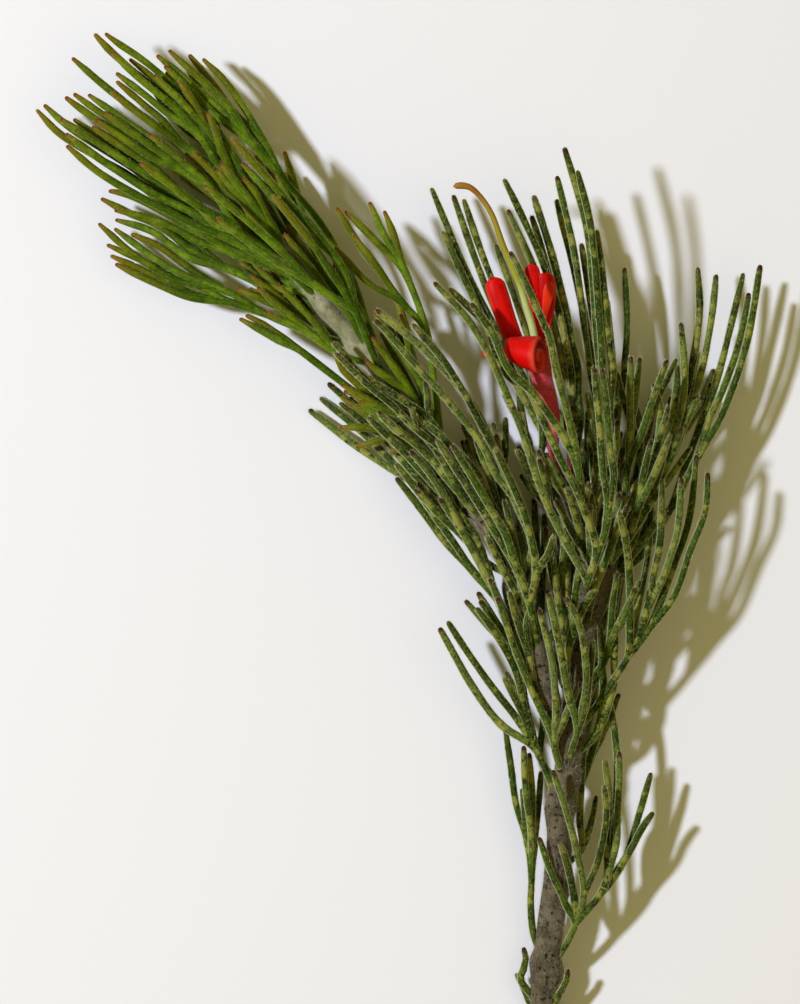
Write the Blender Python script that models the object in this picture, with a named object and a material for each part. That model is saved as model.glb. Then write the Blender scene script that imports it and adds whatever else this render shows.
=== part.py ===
"""A flowering sprig of woolly bush, cut and laid on its side on a flat surface.

The frame is +Z up with the surface at z = 0. The sprig lies along +Y, its cut end towards -Y, and
the origin is below the middle of it. Sizes and places below are in millimetres, and every mesh is
made in metres.

A woody stem carries three leafy axes: a branch that turns up and to the left and ends in a bright
young shoot, a short floral branchlet with one red flower, and the old crown to the right of it.
Each leaf has a stalk that divides into segments and again into thin round lobes.
"""

from dataclasses import dataclass

import bmesh
import bpy
import numpy as np
from mathutils.kdtree import KDTree

MM = 0.001
TAU = 2.0 * np.pi
UP = np.array((0.0, 0.0, 1.0))

# Stems
STEM_SIDES = 12
BRANCH_SIDES = 8
STEM_RING_SPACING = 6.0

# Leaves
STALK_RADIUS = 0.62
LOBE_RADIUS = 0.53
LOBE_TIP_LENGTH = 1.6
LOBE_SIDES = 4
LOBE_CORNER_SHARE = 1.12
CRUMB_VOLUME = 0.5
LOBE_TOLERANCE = 0.46
SPLIT_SHARE = 0.30
LOBE_SHARES = (0.52, 0.78)
SPLIT_LOBE_SHARES = (0.36, 0.7)
SAMPLE_SPACING = 0.8

# Clearances between the pieces while the leaves settle
SETTLING_STEPS = 40
SAME_NODE_CLEARANCE = 1.12
OTHER_NODE_CLEARANCE = 1.85
SOLID_CLEARANCE = 0.55
SETTLING_REACH = 3.6
HEIGHT_PREFERENCE = 2.5
RESTING_SHARE = 0.78
RELEASE_LENGTH = 9.0
SMOOTHING_SAMPLES = 9

# Leaves placed by rule
GOLDEN_ANGLE = TAU * 0.381966
ARM_SPACING = 2.7
BELOW = (0.34, 0.66)
ABOVE = (-0.85, -0.15)

# Flower
TUBE_SIDES = 10
STYLE_SIDES = 6
BUD_SIDES = 6
PETAL_THICKNESS = 0.7
SCROLL_THICKNESS = 0.6
THROAT_CLEARANCE = 0.35
SEAT_GAP = 0.3


@dataclass(frozen=True)
class Axis:
    """One stem: the points that it passes, with its radius at each."""

    node: str
    route: tuple
    radii: tuple


@dataclass(frozen=True)
class Arm:
    """One segment of a leaf, which divides into lobes at its split. Each tip is x and y, then x
    and y of the places that its lobe passes from its foot on. The mean height of the tips is rise.
    Where no split is given, it is the middle of the first places passed, or comes by rule."""

    rise: float
    tips: tuple
    split: tuple = ()


@dataclass(frozen=True)
class Leaf:
    """A leaf whose stalk leaves an axis at base and first divides at fork, as seen from above."""

    axis: str
    base: tuple
    fork: tuple
    arms: tuple
    depth: float = 1.2
    stalk: tuple = ()


@dataclass
class Tube:
    """One lobe, with the part of the leaf below it that it carries: samples along its middle,
    how free each is to move, its radius there, and whether its tip has a ring of its own."""

    node: str
    leaf: int
    path: np.ndarray
    freedom: np.ndarray
    radii: np.ndarray
    tip_ring: bool


AXES = {
    "stem": Axis(
        "old_leafy_stem",
        ((17.4, -66.1, 1.5), (17.6, -62.4, 1.5), (18.0, -55.0, 2.7), (18.5, -48.2, 4.2),
         (19.4, -40.8, 5.5), (20.0, -32.0, 6.7), (21.0, -23.2, 7.6), (22.2, -14.5, 8.5),
         (23.5, -5.8, 9.3), (25.6, 1.1, 9.8), (27.5, 6.0, 10.0), (28.6, 9.8, 10.0)),
        (1.75, 1.75, 1.75, 1.7, 1.6, 1.5, 1.45, 1.4, 1.35, 1.25, 1.1, 0.8),
    ),
    "floral": Axis(
        "old_leafy_stem",
        ((23.6, -5.2, 9.4), (23.1, 0.5, 10.4), (22.4, 5.0, 11.2), (19.8, 10.7, 12.3)),
        (1.1, 1.05, 1.0, 0.8),
    ),
    "branch": Axis(
        "old_leafy_stem",
        ((20.7, -25.0, 7.4), (18.5, -15.8, 8.4), (16.0, -7.0, 9.2), (13.1, 1.1, 9.6),
         (8.8, 8.6, 9.8)),
        (1.25, 1.2, 1.15, 1.15, 1.1),
    ),
    "shoot": Axis(
        "young_leafy_shoot",
        ((8.7, 8.9, 9.8), (3.8, 15.5, 9.8), (-1.2, 22.4, 9.6), (-6.0, 28.4, 9.4),
         (-11.0, 34.9, 9.0), (-16.2, 41.1, 8.6), (-21.0, 46.0, 8.2)),
        (1.1, 1.1, 1.1, 1.05, 0.95, 0.8, 0.6),
    ),
}

OLD_LEAVES = (
    # By the cut end
    Leaf("stem", (17.6, -59.5), (16.8, -55.8), (
        Arm(4.0, ((15.4, -47.8, 16.7, -54.5, 16.2, -50.9),)),
        Arm(3.0, ((14.5, -51.1, 16.3, -55.0, 15.3, -52.5),)))),
    Leaf("stem", (18.4, -58.2), (19.0, -55.3), (
        Arm(5.6, ((21.0, -50.5, 19.5, -54.2, 20.7, -52.2),)),
        Arm(4.0, ((20.3, -52.6, 19.5, -54.6),)))),
    # Lower leaves of the stem
    Leaf("stem", (17.9, -50.0), (16.4, -39.3), (
        Arm(7.0, ((13.1, -20.4, 15.9, -35.4, 14.6, -30.4, 13.8, -25.1), (15.1, -28.0, 15.9, -34.0))),
        Arm(8.5, ((15.4, -22.6, 16.4, -34.6, 15.6, -27.0), (16.1, -23.5, 16.5, -34.6, 16.4, -29.0))),
        Arm(5.0, ((17.6, -25.8, 16.7, -35.2, 17.3, -29.6),))), stalk=((16.7, -46.4), (16.3, -42.6))),
    Leaf("stem", (19.2, -51.0), (21.9, -44.9), (
        Arm(9.5, ((17.3, -34.0, 20.9, -42.9, 18.9, -38.6),)),
        Arm(8.5, ((19.9, -34.8, 21.7, -41.6, 20.9, -37.8),)),
        Arm(11.0, ((19.0, -25.6, 22.1, -36.1, 20.6, -30.4),
                   (25.4, -27.5, 24.6, -37.2, 25.7, -31.2)), (22.9, -41.2)),
        Arm(9.0, ((24.5, -13.0, 26.4, -35.0, 27.1, -26.0, 26.3, -18.2),
                  (25.5, -24.3, 26.0, -36.0, 26.1, -29.6),
                  (27.3, -23.3, 26.6, -34.1, 27.3, -27.5)), (25.4, -40.4)),
        Arm(7.0, ((31.3, -26.0, 28.0, -36.9, 29.9, -30.9),
                  (31.6, -30.9, 28.6, -35.8, 30.2, -32.8), (27.4, -31.6)), (25.8, -40.2))),
         stalk=((20.3, -48.2),)),
    Leaf("stem", (21.0, -40.1), (22.6, -35.8), (
        Arm(3.6, ((22.9, -24.1),)), Arm(3.0, ((24.5, -28.9),)))),
    # Left side of the stem
    Leaf("stem", (19.9, -31.4), (16.9, -23.0), (
        Arm(8.0, ((4.9, -7.9, 12.6, -20.0, 9.0, -15.2, 6.6, -11.0),)),
        Arm(9.2, ((5.9, -7.1, 14.9, -19.7, 11.4, -15.2, 8.3, -10.8),)),
        Arm(10.5, ((9.5, -5.4, 16.2, -19.7, 14.4, -13.3, 11.9, -8.6), (12.9, -14.1, 15.6, -20.3)))),
         stalk=((18.7, -27.0),)),
    Leaf("stem", (20.1, -29.5), (19.2, -22.4), (
        Arm(12.5, ((12.1, -4.1, 18.4, -20.0, 16.6, -16.2, 14.4, -10.8),)),
        Arm(14.0, ((17.3, -5.6, 19.4, -18.5, 18.9, -12.0),)),
        Arm(11.5, ((22.4, -14.8, 20.3, -19.6),)))),
    Leaf("stem", (20.6, -28.0), (22.1, -20.8), (
        Arm(15.0, ((18.4, -3.5, 21.0, -16.4, 19.6, -9.0),)),
        Arm(14.0, ((20.6, -4.1, 22.8, -17.6, 23.2, -13.0, 22.2, -7.2),)),
        Arm(12.0, ((24.0, -9.5, 23.0, -17.8),)))),
    # Right side of the stem
    Leaf("stem", (21.2, -26.8), (24.3, -21.3), (
        Arm(10.5, ((26.4, -3.5, 25.9, -17.6, 26.8, -10.0),)),
        Arm(8.5, ((24.8, -7.5, 25.3, -17.2, 25.2, -12.0),)))),
    Leaf("stem", (21.2, -22.0), (28.3, -11.7), (
        Arm(15.0, ((27.3, 6.6, 28.6, -7.0, 28.4, 0.4),)),
        Arm(9.5, ((31.4, 9.9, 29.4, -6.4, 30.8, 1.0),)),
        Arm(13.0, ((32.6, 10.5, 30.2, -6.6, 32.3, 2.4), (35.0, 10.8, 30.8, -6.2, 34.4, 3.6))),
        Arm(11.0, ((36.9, 13.6, 31.0, -7.6, 33.8, -1.0, 36.0, 5.6),
                   (38.3, 11.4, 30.8, -8.7, 34.0, -4.2, 36.2, 1.9, 38.0, 6.6)))),
         stalk=((24.4, -17.8), (26.6, -14.4))),
    # Leaves that start from the foot of the branch and point up it
    Leaf("branch", (18.3, -15.8), (16.2, -5.2), (
        Arm(17.5, ((11.8, 14.4, 15.8, 5.2, 13.7, 10.4), (19.1, 3.6, 18.4, 1.2)), (16.9, -1.0)),
        Arm(16.0, ((6.5, 14.8, 12.4, 4.8, 8.9, 10.9), (4.6, 15.5, 11.4, 4.8, 7.2, 11.4)),
            (15.0, -1.7))), 0.9),
    Leaf("branch", (17.5, -9.0), (14.6, 0.2), (
        Arm(15.0, ((-8.4, 27.6, 12.7, 4.7, 8.9, 11.6, 3.5, 17.3, -2.2, 22.4),
                   (-8.1, 26.3, 12.3, 4.6, 7.9, 11.4, 2.4, 17.0, -3.2, 21.8))),
        Arm(13.5, ((-1.5, 20.5, 12.9, 4.9, 8.0, 13.0),)))),
    Leaf("branch", (18.0, -16.0), (12.4, -4.9), (
        Arm(9.0, ((-0.5, 10.8, 9.6, -1.8, 5.3, 3.2, 1.9, 7.8),
                  (-0.6, 12.6, 9.8, -1.4, 5.9, 3.7, 2.0, 9.3))),
        Arm(12.5, ((1.6, 14.4, 10.9, -1.7, 8.1, 3.4, 4.6, 10.0),)),
        Arm(11.0, ((-4.0, 18.3, 11.0, -1.0, 9.4, 3.4, 4.2, 9.9, -0.6, 15.0),))),
         stalk=((16.2, -12.0), (14.2, -7.8))),
    Leaf("branch", (16.6, -7.0), (16.4, 2.4), (
        Arm(17.0, ((-3.0, 31.6, 15.2, 6.5, 12.2, 13.2, 8.6, 20.4, 3.0, 26.7),
                   (-3.0, 30.5, 14.6, 6.7, 10.8, 14.0, 7.0, 19.1, 1.9, 24.8))),
        Arm(18.0, ((1.5, 29.9, 14.8, 7.4, 11.0, 15.6, 5.9, 24.6),)))),
    Leaf("branch", (12.0, 2.5), (6.0, 7.6), (
        Arm(0.6, ((-11.4, 19.3, 1.5, 10.0, -4.7, 14.2), (-10.0, 20.8, 1.8, 10.4, -3.8, 15.6))),
        Arm(4.4, ((-9.0, 22.6, 2.2, 10.8, -3.0, 16.8), (-7.4, 20.3, 2.4, 10.6, -2.4, 16.0))))),
    # The big leaf in front of the flower's foot
    Leaf("floral", (23.6, -5.0), (23.3, -2.2), (
        Arm(22.0, ((4.2, 35.0, 20.9, 2.2, 18.1, 7.8, 14.5, 18.1, 9.1, 29.4),)),
        Arm(20.5, ((6.1, 34.3, 24.4, 1.6, 22.7, 7.3, 19.4, 14.2, 16.5, 21.1, 11.7, 28.6),)),
        Arm(18.5, ((24.1, 24.5, 25.6, 5.4, 25.0, 14.8), (25.1, 24.3, 25.8, 5.4, 26.0, 14.5)))), 0.6),
    # Round the flower
    Leaf("floral", (22.9, 2.5), (22.3, 10.8), (
        Arm(22.0, ((13.6, 38.8, 21.4, 16.0, 19.8, 22.4, 17.9, 29.3, 15.2, 35.7),)),
        Arm(21.5, ((8.8, 32.4, 20.8, 15.0, 16.8, 20.8, 13.1, 26.6),)))),
    Leaf("floral", (22.6, 3.5), (22.0, 14.0), (
        Arm(15.0, ((12.9, 47.9, 22.0, 18.5, 20.7, 26.5, 18.5, 35.5, 15.0, 43.6),
                   (13.4, 44.1, 21.4, 18.5, 19.8, 27.6, 17.0, 36.0))),
        Arm(13.0, ((16.6, 45.9, 22.6, 18.5, 21.3, 26.6, 19.2, 37.0),
                   (16.4, 43.4, 22.2, 18.5, 20.6, 28.5, 18.4, 37.0))))),
    Leaf("floral", (21.8, 6.0), (19.0, 14.0), (
        Arm(8.0, ((3.9, 46.9, 17.0, 18.0, 13.2, 26.6, 8.4, 36.0),
                  (5.3, 41.5, 16.6, 18.4, 12.0, 27.5, 8.4, 35.0))),
        Arm(9.0, ((6.6, 46.0, 17.4, 18.8, 13.8, 27.0, 9.6, 37.4),
                  (7.9, 45.5, 17.8, 19.2, 14.6, 27.8, 10.6, 37.6))),
        Arm(7.0, ((11.9, 39.9, 18.4, 20.0, 15.4, 30.0),)))),
    # Crown
    Leaf("stem", (26.0, 2.4), (25.4, 14.0), (
        Arm(16.0, ((20.4, 51.8, 25.3, 18.0, 24.4, 28.8, 23.2, 41.8),)),
        Arm(17.5, ((22.0, 48.9, 25.8, 18.0, 25.0, 29.5, 23.9, 41.0),
                   (24.3, 41.5, 26.2, 18.0, 25.6, 30.0))),
        Arm(14.5, ((19.5, 48.3, 24.8, 17.6, 23.4, 26.0, 21.7, 38.6),)))),
    Leaf("stem", (26.4, 3.5), (26.4, 13.6), (
        Arm(8.0, ((19.5, 45.5, 25.4, 17.0, 23.6, 28.0, 21.4, 38.0), (22.6, 40.0, 25.6, 17.2, 24.4, 28.0))),
        Arm(6.5, ((28.0, 37.0, 27.2, 17.0, 28.3, 28.5), (25.8, 33.0, 26.6, 17.0))))),
    Leaf("stem", (24.8, -2.5), (33.4, 6.2), (
        Arm(7.5, ((44.9, 37.3, 37.0, 12.9, 40.0, 18.6, 43.1, 27.6),
                  (43.6, 33.8, 36.7, 12.9, 39.2, 19.0, 41.9, 26.0))),
        Arm(6.5, ((42.8, 36.3, 35.8, 13.2, 39.2, 22.0, 41.4, 30.4), (38.8, 22.6, 35.9, 13.2, 37.4, 17.4)))),
         stalk=((29.2, 0.2),)),
    Leaf("stem", (27.4, 5.0), (31.9, 10.0), (
        Arm(10.0, ((35.0, 30.1, 33.6, 13.8, 35.3, 22.4), (34.6, 24.9, 33.2, 13.8, 34.5, 20.5))),
        Arm(8.0, ((37.1, 37.0, 34.2, 14.8, 36.0, 22.6, 37.3, 31.0),
                  (39.4, 36.1, 34.6, 14.6, 37.0, 22.0, 38.7, 30.0))),
        Arm(11.5, ((35.1, 17.0, 33.6, 13.2),)))),
    Leaf("stem", (27.6, 6.4), (30.2, 11.0), (
        Arm(13.5, ((31.4, 22.4, 31.4, 13.4, 32.4, 18.4), (33.2, 19.8, 31.8, 13.6))),
        Arm(12.0, ((28.1, 22.0, 30.1, 13.6, 29.9, 17.6), (27.0, 24.0, 29.6, 13.8, 28.6, 18.0))))),
    Leaf("stem", (25.8, 1.8), (25.4, 9.5), (
        Arm(15.5, ((23.3, 21.5, 24.6, 13.0), (23.9, 18.1, 24.9, 13.0))),
        Arm(14.0, ((27.0, 18.0),)))),
    # Low leaves, with tips on the surface
    Leaf("stem", (26.8, 4.0), (31.0, 9.0), (
        Arm(0.4, ((37.2, 26.5, 33.4, 14.0, 35.8, 20.0), (39.2, 24.4, 33.8, 13.6, 37.0, 18.8))),), 0.0),
)

YOUNG_LEAVES = (
    # Foot of the shoot
    Leaf("shoot", (7.6, 10.4), (3.2, 15.2), (
        Arm(6.0, ((-7.5, 17.1, 0.4, 16.4, -3.4, 17.0), (-5.5, 14.6, 0.2, 15.8))),
        Arm(7.5, ((-6.3, 19.8, 1.6, 16.9, -2.2, 18.6),)),
        Arm(5.0, ((-0.9, 13.9, 1.4, 14.8),)))),
    Leaf("shoot", (4.6, 14.4), (1.0, 18.2), (
        Arm(8.0, ((-5.3, 22.0, -1.2, 19.5), (-7.0, 21.6, -1.5, 19.3))),
        Arm(9.0, ((-4.0, 25.6, -0.8, 21.0),)))),
    Leaf("shoot", (4.4, 14.7), (1.6, 21.0), (
        Arm(13.0, ((-4.6, 25.1, -0.6, 22.6),)), Arm(13.5, ((-3.5, 28.3, -0.2, 23.8),)))),
    # The leaf that stands off to the right
    Leaf("shoot", (5.4, 13.4), (3.3, 29.0), (
        Arm(12.5, ((-7.9, 44.4, -2.4, 36.2, -5.6, 40.6), (-5.8, 41.0, -2.6, 36.6),
                   (-8.1, 39.5, -3.8, 34.9)), (0.2, 32.6)),
        Arm(11.5, ((-3.8, 45.1, -1.9, 41.0), (-2.0, 44.0, -0.6, 40.2),
                   (-6.8, 44.0, -2.8, 40.0)), (0.6, 36.4))), 0.5, ((4.4, 21.2),)),
    # The leaf whose long stalk runs up the front of the shoot
    Leaf("shoot", (0.8, 19.0), (-5.4, 31.2), (
        Arm(17.5, ((-19.6, 51.3), (-21.0, 53.0), (-19.4, 50.1)), (-7.5, 37.3)),
        Arm(18.5, ((-15.8, 45.9),)),
        Arm(16.5, ((-24.3, 47.1), (-22.8, 43.0)), (-10.2, 34.4))), 1.2, ((-2.4, 24.2), (-4.1, 28.0))),
    # Lower side
    Leaf("shoot", (3.4, 16.0), (-12.4, 26.6), (
        Arm(8.0, ((-20.0, 30.6, -14.8, 27.8),)), Arm(8.6, ((-19.1, 31.3, -14.6, 28.2),))),
         stalk=((0.4, 17.7), (-4.7, 20.8), (-9.0, 24.0))),
    Leaf("shoot", (-1.6, 22.8), (-7.6, 26.2), (
        Arm(11.0, ((-17.8, 34.5, -10.6, 28.6), (-16.8, 31.4, -10.8, 28.2))),
        Arm(12.0, ((-15.3, 34.8),)))),
    Leaf("shoot", (-4.6, 26.8), (-16.2, 30.9), (
        Arm(5.0, ((-36.6, 39.8, -20.6, 32.8, -26.2, 34.9, -31.6, 37.5),
                  (-36.1, 38.6, -20.4, 32.4, -26.0, 33.9, -31.1, 36.2),
                  (-35.5, 37.5, -20.1, 32.0, -25.7, 33.3, -30.8, 35.2))),
        Arm(7.0, ((-37.6, 42.5, -22.0, 33.8, -28.3, 35.7, -33.4, 38.8),
                  (-35.6, 41.9, -22.2, 34.2, -28.0, 36.4, -32.0, 39.2),
                  (-33.6, 41.1, -21.4, 34.4, -26.5, 37.0, -30.4, 39.8)))), stalk=((-10.6, 28.6),)),
    Leaf("shoot", (-8.0, 30.6), (-16.8, 34.7), (
        Arm(7.5, ((-37.3, 45.6, -20.8, 36.7, -25.7, 39.0, -30.0, 42.1, -34.0, 43.9),)),
        Arm(6.5, ((-35.5, 42.9, -20.2, 36.1, -26.2, 38.5, -31.1, 41.6),
                  (-33.4, 43.9, -20.6, 36.5, -27.0, 40.4))))),
    Leaf("shoot", (-9.4, 32.4), (-15.8, 36.9), (
        Arm(9.0, ((-36.3, 46.5, -19.3, 38.5, -24.4, 40.8, -29.6, 43.9, -34.0, 46.1),)),
        Arm(8.0, ((-35.6, 44.1, -19.4, 38.2, -25.0, 40.4, -30.4, 42.9),)))),
    # Upper side and the far tips
    Leaf("shoot", (-5.2, 27.6), (-14.2, 47.6), (
        Arm(8.0, ((-24.6, 63.0, -16.6, 52.5, -19.4, 56.8, -22.0, 60.4),
                  (-26.3, 63.5, -17.0, 52.2, -21.0, 56.6, -23.6, 60.2))),
        Arm(9.5, ((-28.8, 64.0, -17.6, 52.0, -22.6, 58.2), (-30.3, 63.4, -17.8, 51.8, -23.6, 57.6),
                  (-29.3, 62.1, -18.0, 51.6, -23.6, 56.6)))), stalk=((-6.4, 35.8), (-9.6, 42.0))),
    Leaf("shoot", (-13.0, 37.4), (-19.0, 48.0), (
        Arm(11.0, ((-37.0, 65.8, -22.9, 54.2, -28.0, 59.3, -33.1, 63.4),
                   (-37.9, 66.1, -22.4, 53.4, -28.5, 57.9, -34.7, 62.7))),
        Arm(12.5, ((-33.6, 63.0, -23.4, 53.0, -29.4, 59.4), (-30.6, 60.9, -23.2, 53.2),
                   (-27.6, 60.3, -22.8, 53.4))))),
    Leaf("shoot", (-14.6, 39.4), (-22.0, 48.4), (
        Arm(14.0, ((-35.9, 63.8, -24.4, 53.0, -27.4, 56.2, -32.6, 60.6),
                   (-35.3, 61.1, -24.6, 52.6, -29.4, 56.6))),
        Arm(12.0, ((-40.8, 63.0, -26.2, 51.6, -30.4, 54.6, -36.5, 59.3), (-35.3, 60.1),
                   (-36.0, 58.8))))),
    Leaf("shoot", (-12.6, 36.8), (-22.0, 45.4), (
        Arm(9.0, ((-41.6, 58.3), (-40.8, 58.4))),
        Arm(10.5, ((-38.9, 58.4), (-37.9, 55.4), (-36.9, 56.3))))),
    Leaf("shoot", (-11.4, 35.3), (-21.4, 42.2), (
        Arm(7.0, ((-45.1, 56.8, -26.0, 44.6, -32.2, 47.8, -38.6, 51.2, -42.8, 54.0),
                  (-44.6, 57.1, -26.0, 45.0, -33.0, 49.4, -39.6, 53.4))),
        Arm(8.5, ((-42.3, 55.5), (-40.8, 55.4), (-38.3, 54.6))))),
    Leaf("shoot", (-10.2, 33.8), (-16.2, 37.6), (
        Arm(11.0, ((-41.5, 52.1, -20.0, 39.6, -24.9, 42.1, -30.8, 44.9, -37.4, 48.7),
                   (-41.6, 53.6, -20.4, 40.4, -25.0, 43.2, -30.8, 46.2, -37.0, 50.2))),
        Arm(14.0, ((-31.3, 53.5), (-32.3, 49.9))))),
    Leaf("shoot", (-8.4, 31.4), (-14.0, 38.0), (
        Arm(14.5, ((-22.3, 49.9), (-22.8, 49.1))),
        Arm(13.5, ((-20.0, 47.8),)), Arm(12.5, ((-25.0, 44.5, -17.6, 39.8),)))),
    # A low leaf, with its tips on the surface
    Leaf("shoot", (-8.0, 30.6), (-17.0, 36.0), (
        Arm(0.4, ((-34.5, 49.0, -22.0, 39.8), (-32.4, 47.2, -22.2, 39.4))),), 0.0),
)


# Flower: its tube opens in tepals, each a strap that passes these places
TUBE_ROUTE = ((19.56, 11.06, 12.4), (19.1, 13.6, 12.9), (19.0, 18.0, 13.8), (18.4, 20.5, 14.4),
              (17.6, 23.3, 15.1), (17.3, 25.6, 15.7), (17.0, 27.6, 16.2))
TUBE_RADII = (0.5, 0.6, 0.85, 1.1, 1.25, 1.4, 1.45)
STYLE_ROUTE = ((17.2, 25.9, 15.8), (16.8, 27.8, 16.3), (16.3, 30.0, 16.8), (15.75, 31.75, 17.2),
               (15.0, 34.3, 17.8), (14.0, 36.8, 18.4), (12.9, 39.3, 18.9), (11.3, 43.6, 19.4),
               (9.8, 45.8, 19.6), (8.6, 46.8, 19.7), (7.6, 47.0, 19.7), (6.6, 46.9, 19.7))
STYLE_RADII = (0.5, 0.5, 0.48, 0.45, 0.42, 0.4, 0.38, 0.34, 0.33, 0.38, 0.44, 0.34)
BUD_ROUTE = ((21.1, 11.2, 13.4), (21.2, 13.0, 13.9), (20.9, 16.2, 14.4), (20.4, 19.5, 14.8))
BUD_RADII = (0.35, 0.5, 0.5, 0.3)
SCROLL_CENTRE = (15.4, 26.05, 19.1)
SCROLL_RADII = (2.35, 0.95)
SCROLL_ANGLES = (-75.0, 350.0)
SCROLL_ROOT_X = 16.0
SCROLL_WIDTHS = (2.0, 4.3)
SCROLL_WIDENING = 0.12
SCROLL_LEAN = (-0.26, 0.35)
SCROLL_TILT = 0.4


@dataclass(frozen=True)
class Tepal:
    """A strap: the places it passes, its width at each, and the angle that its cross-section
    bends through, with its margins turned down."""

    route: tuple
    widths: tuple
    curl: float


TEPALS = (
    Tepal(((15.9, 26.2, 15.9), (14.5, 27.6, 16.4), (13.7, 29.0, 16.8), (13.0, 30.9, 17.1),
           (12.4, 32.8, 17.3), (11.8, 34.6, 17.3), (11.5, 35.6, 17.1)),
          (1.8, 2.4, 2.8, 2.9, 3.0, 3.0, 2.5), 1.8),
    Tepal(((17.6, 26.6, 15.0), (17.3, 30.0, 15.2), (16.8, 33.0, 15.7), (16.5, 35.4, 16.2),
           (16.3, 37.3, 16.3)),
          (1.3, 1.6, 2.2, 2.3, 1.9), 1.4),
    Tepal(((18.0, 27.0, 15.0), (18.1, 30.0, 15.1), (18.2, 32.4, 15.5), (18.1, 34.4, 16.0),
           (17.9, 36.2, 16.2)),
          (1.3, 1.6, 2.5, 2.9, 2.5), 1.4),
    Tepal(((16.2, 26.4, 15.2), (14.4, 26.7, 15.2), (12.1, 25.9, 15.1), (10.2, 26.3, 15.0)),
          (1.4, 1.6, 1.6, 0.9), 1.0),
)

@dataclass(frozen=True)
class LeafRow:
    """Leaves placed by rule. They leave an axis between two shares of it, in a spiral that stays
    between two turns round it, where 0.5 is straight below and -0.5 straight above. Spread is the
    angle that they lean away from the axis, and slants say how far aside each arm points."""

    axis: str
    first: float
    last: float
    count: int
    length: float
    turn: float
    sides: tuple = BELOW
    spread: float = 0.34
    slants: tuple = (-1.0, 0.15, 1.1)


LEAF_ROWS = (
    LeafRow("stem", 0.40, 0.90, 7, 22.0, 0.0),
    LeafRow("branch", 0.30, 0.95, 3, 22.0, 1.2),
    LeafRow("shoot", 0.05, 0.80, 5, 22.0, 0.6),
    LeafRow("branch", 0.15, 0.90, 4, 19.0, 0.4, ABOVE, 0.12, (-0.7, 0.6)),
    LeafRow("floral", 0.02, 0.40, 3, 14.0, 5.0, ABOVE, 0.10, (-1.5, 1.4)),
    LeafRow("stem", 0.64, 0.97, 4, 19.0, 1.0, ABOVE, 0.22, (-0.9, 0.9)),
    LeafRow("shoot", 0.28, 0.78, 4, 19.0, 3.0, ABOVE, 0.16, (-0.8, 0.7)),
)


def smooth_route(points, spacing):
    """Evenly spaced points on a smooth curve through the given ones."""
    points = np.asarray(points, float)
    steps = np.linalg.norm(np.diff(points, axis=0), axis=1)
    at = np.concatenate([[0.0], np.cumsum(np.sqrt(np.maximum(steps, 1e-9)))])
    slopes = np.gradient(points, at, axis=0)
    fine = []
    for k in range(len(points) - 1):
        width = at[k + 1] - at[k]
        t = np.linspace(0.0, 1.0, 24, endpoint=k == len(points) - 2)[:, None]
        fine.append(
            (2 * t**3 - 3 * t**2 + 1) * points[k]
            + (t**3 - 2 * t**2 + t) * width * slopes[k]
            + (3 * t**2 - 2 * t**3) * points[k + 1]
            + (t**3 - t**2) * width * slopes[k + 1]
        )
    return evenly(np.vstack(fine), spacing)


def evenly(path, spacing):
    """The path's ends and evenly spaced points between them."""
    length = np.concatenate([[0.0], np.cumsum(np.linalg.norm(np.diff(path, axis=0), axis=1))])
    count = max(3, int(round(length[-1] / spacing)) + 1)
    places = np.linspace(0.0, length[-1], count)
    return np.stack([np.interp(places, length, path[:, k]) for k in range(3)], axis=1)


def lengths_along(path):
    """The distance from the start to each point of the path."""
    return np.concatenate([[0.0], np.cumsum(np.linalg.norm(np.diff(path, axis=0), axis=1))])


def routes():
    """Every axis as samples and their radii."""
    found = {}
    for name, axis in AXES.items():
        path = smooth_route(axis.route, SAMPLE_SPACING)
        marks = lengths_along(np.asarray(axis.route))
        share = lengths_along(path) / lengths_along(path)[-1]
        found[name] = (path, np.interp(share, marks / marks[-1], axis.radii))
    return found


def nearest_on(path, place):
    """The point of the path that is nearest to a place seen from above, and the direction there."""
    k = int(np.argmin(np.linalg.norm(path[:, :2] - np.asarray(place), axis=1)))
    ahead = path[min(k + 1, len(path) - 1)] - path[max(k - 1, 0)]
    return path[k], ahead / np.linalg.norm(ahead)


def bowed(origin, axis, end, share):
    """A place on a lobe that leaves the origin outwards and bends in until it runs along the axis."""
    along = np.dot(end - origin, axis) * axis
    return origin + share * along + (1.0 - (1.0 - share) ** 2) * (end - origin - along)


def pairs(numbers):
    """The numbers two by two, as places seen from above."""
    return [np.array(numbers[k:k + 2]) for k in range(0, len(numbers), 2)]


def raised(places, first, last):
    """The places between two points, each at a height by its share of the way between them."""
    ways = np.array([first[:2], *places, last[:2]])
    at = np.concatenate([[0.0], np.cumsum(np.linalg.norm(np.diff(ways, axis=0), axis=1))])
    heights = np.interp(at[1:-1], (0.0, at[-1]), (first[2], last[2]))
    return [np.array((*place, z)) for place, z in zip(places, heights)]


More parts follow.
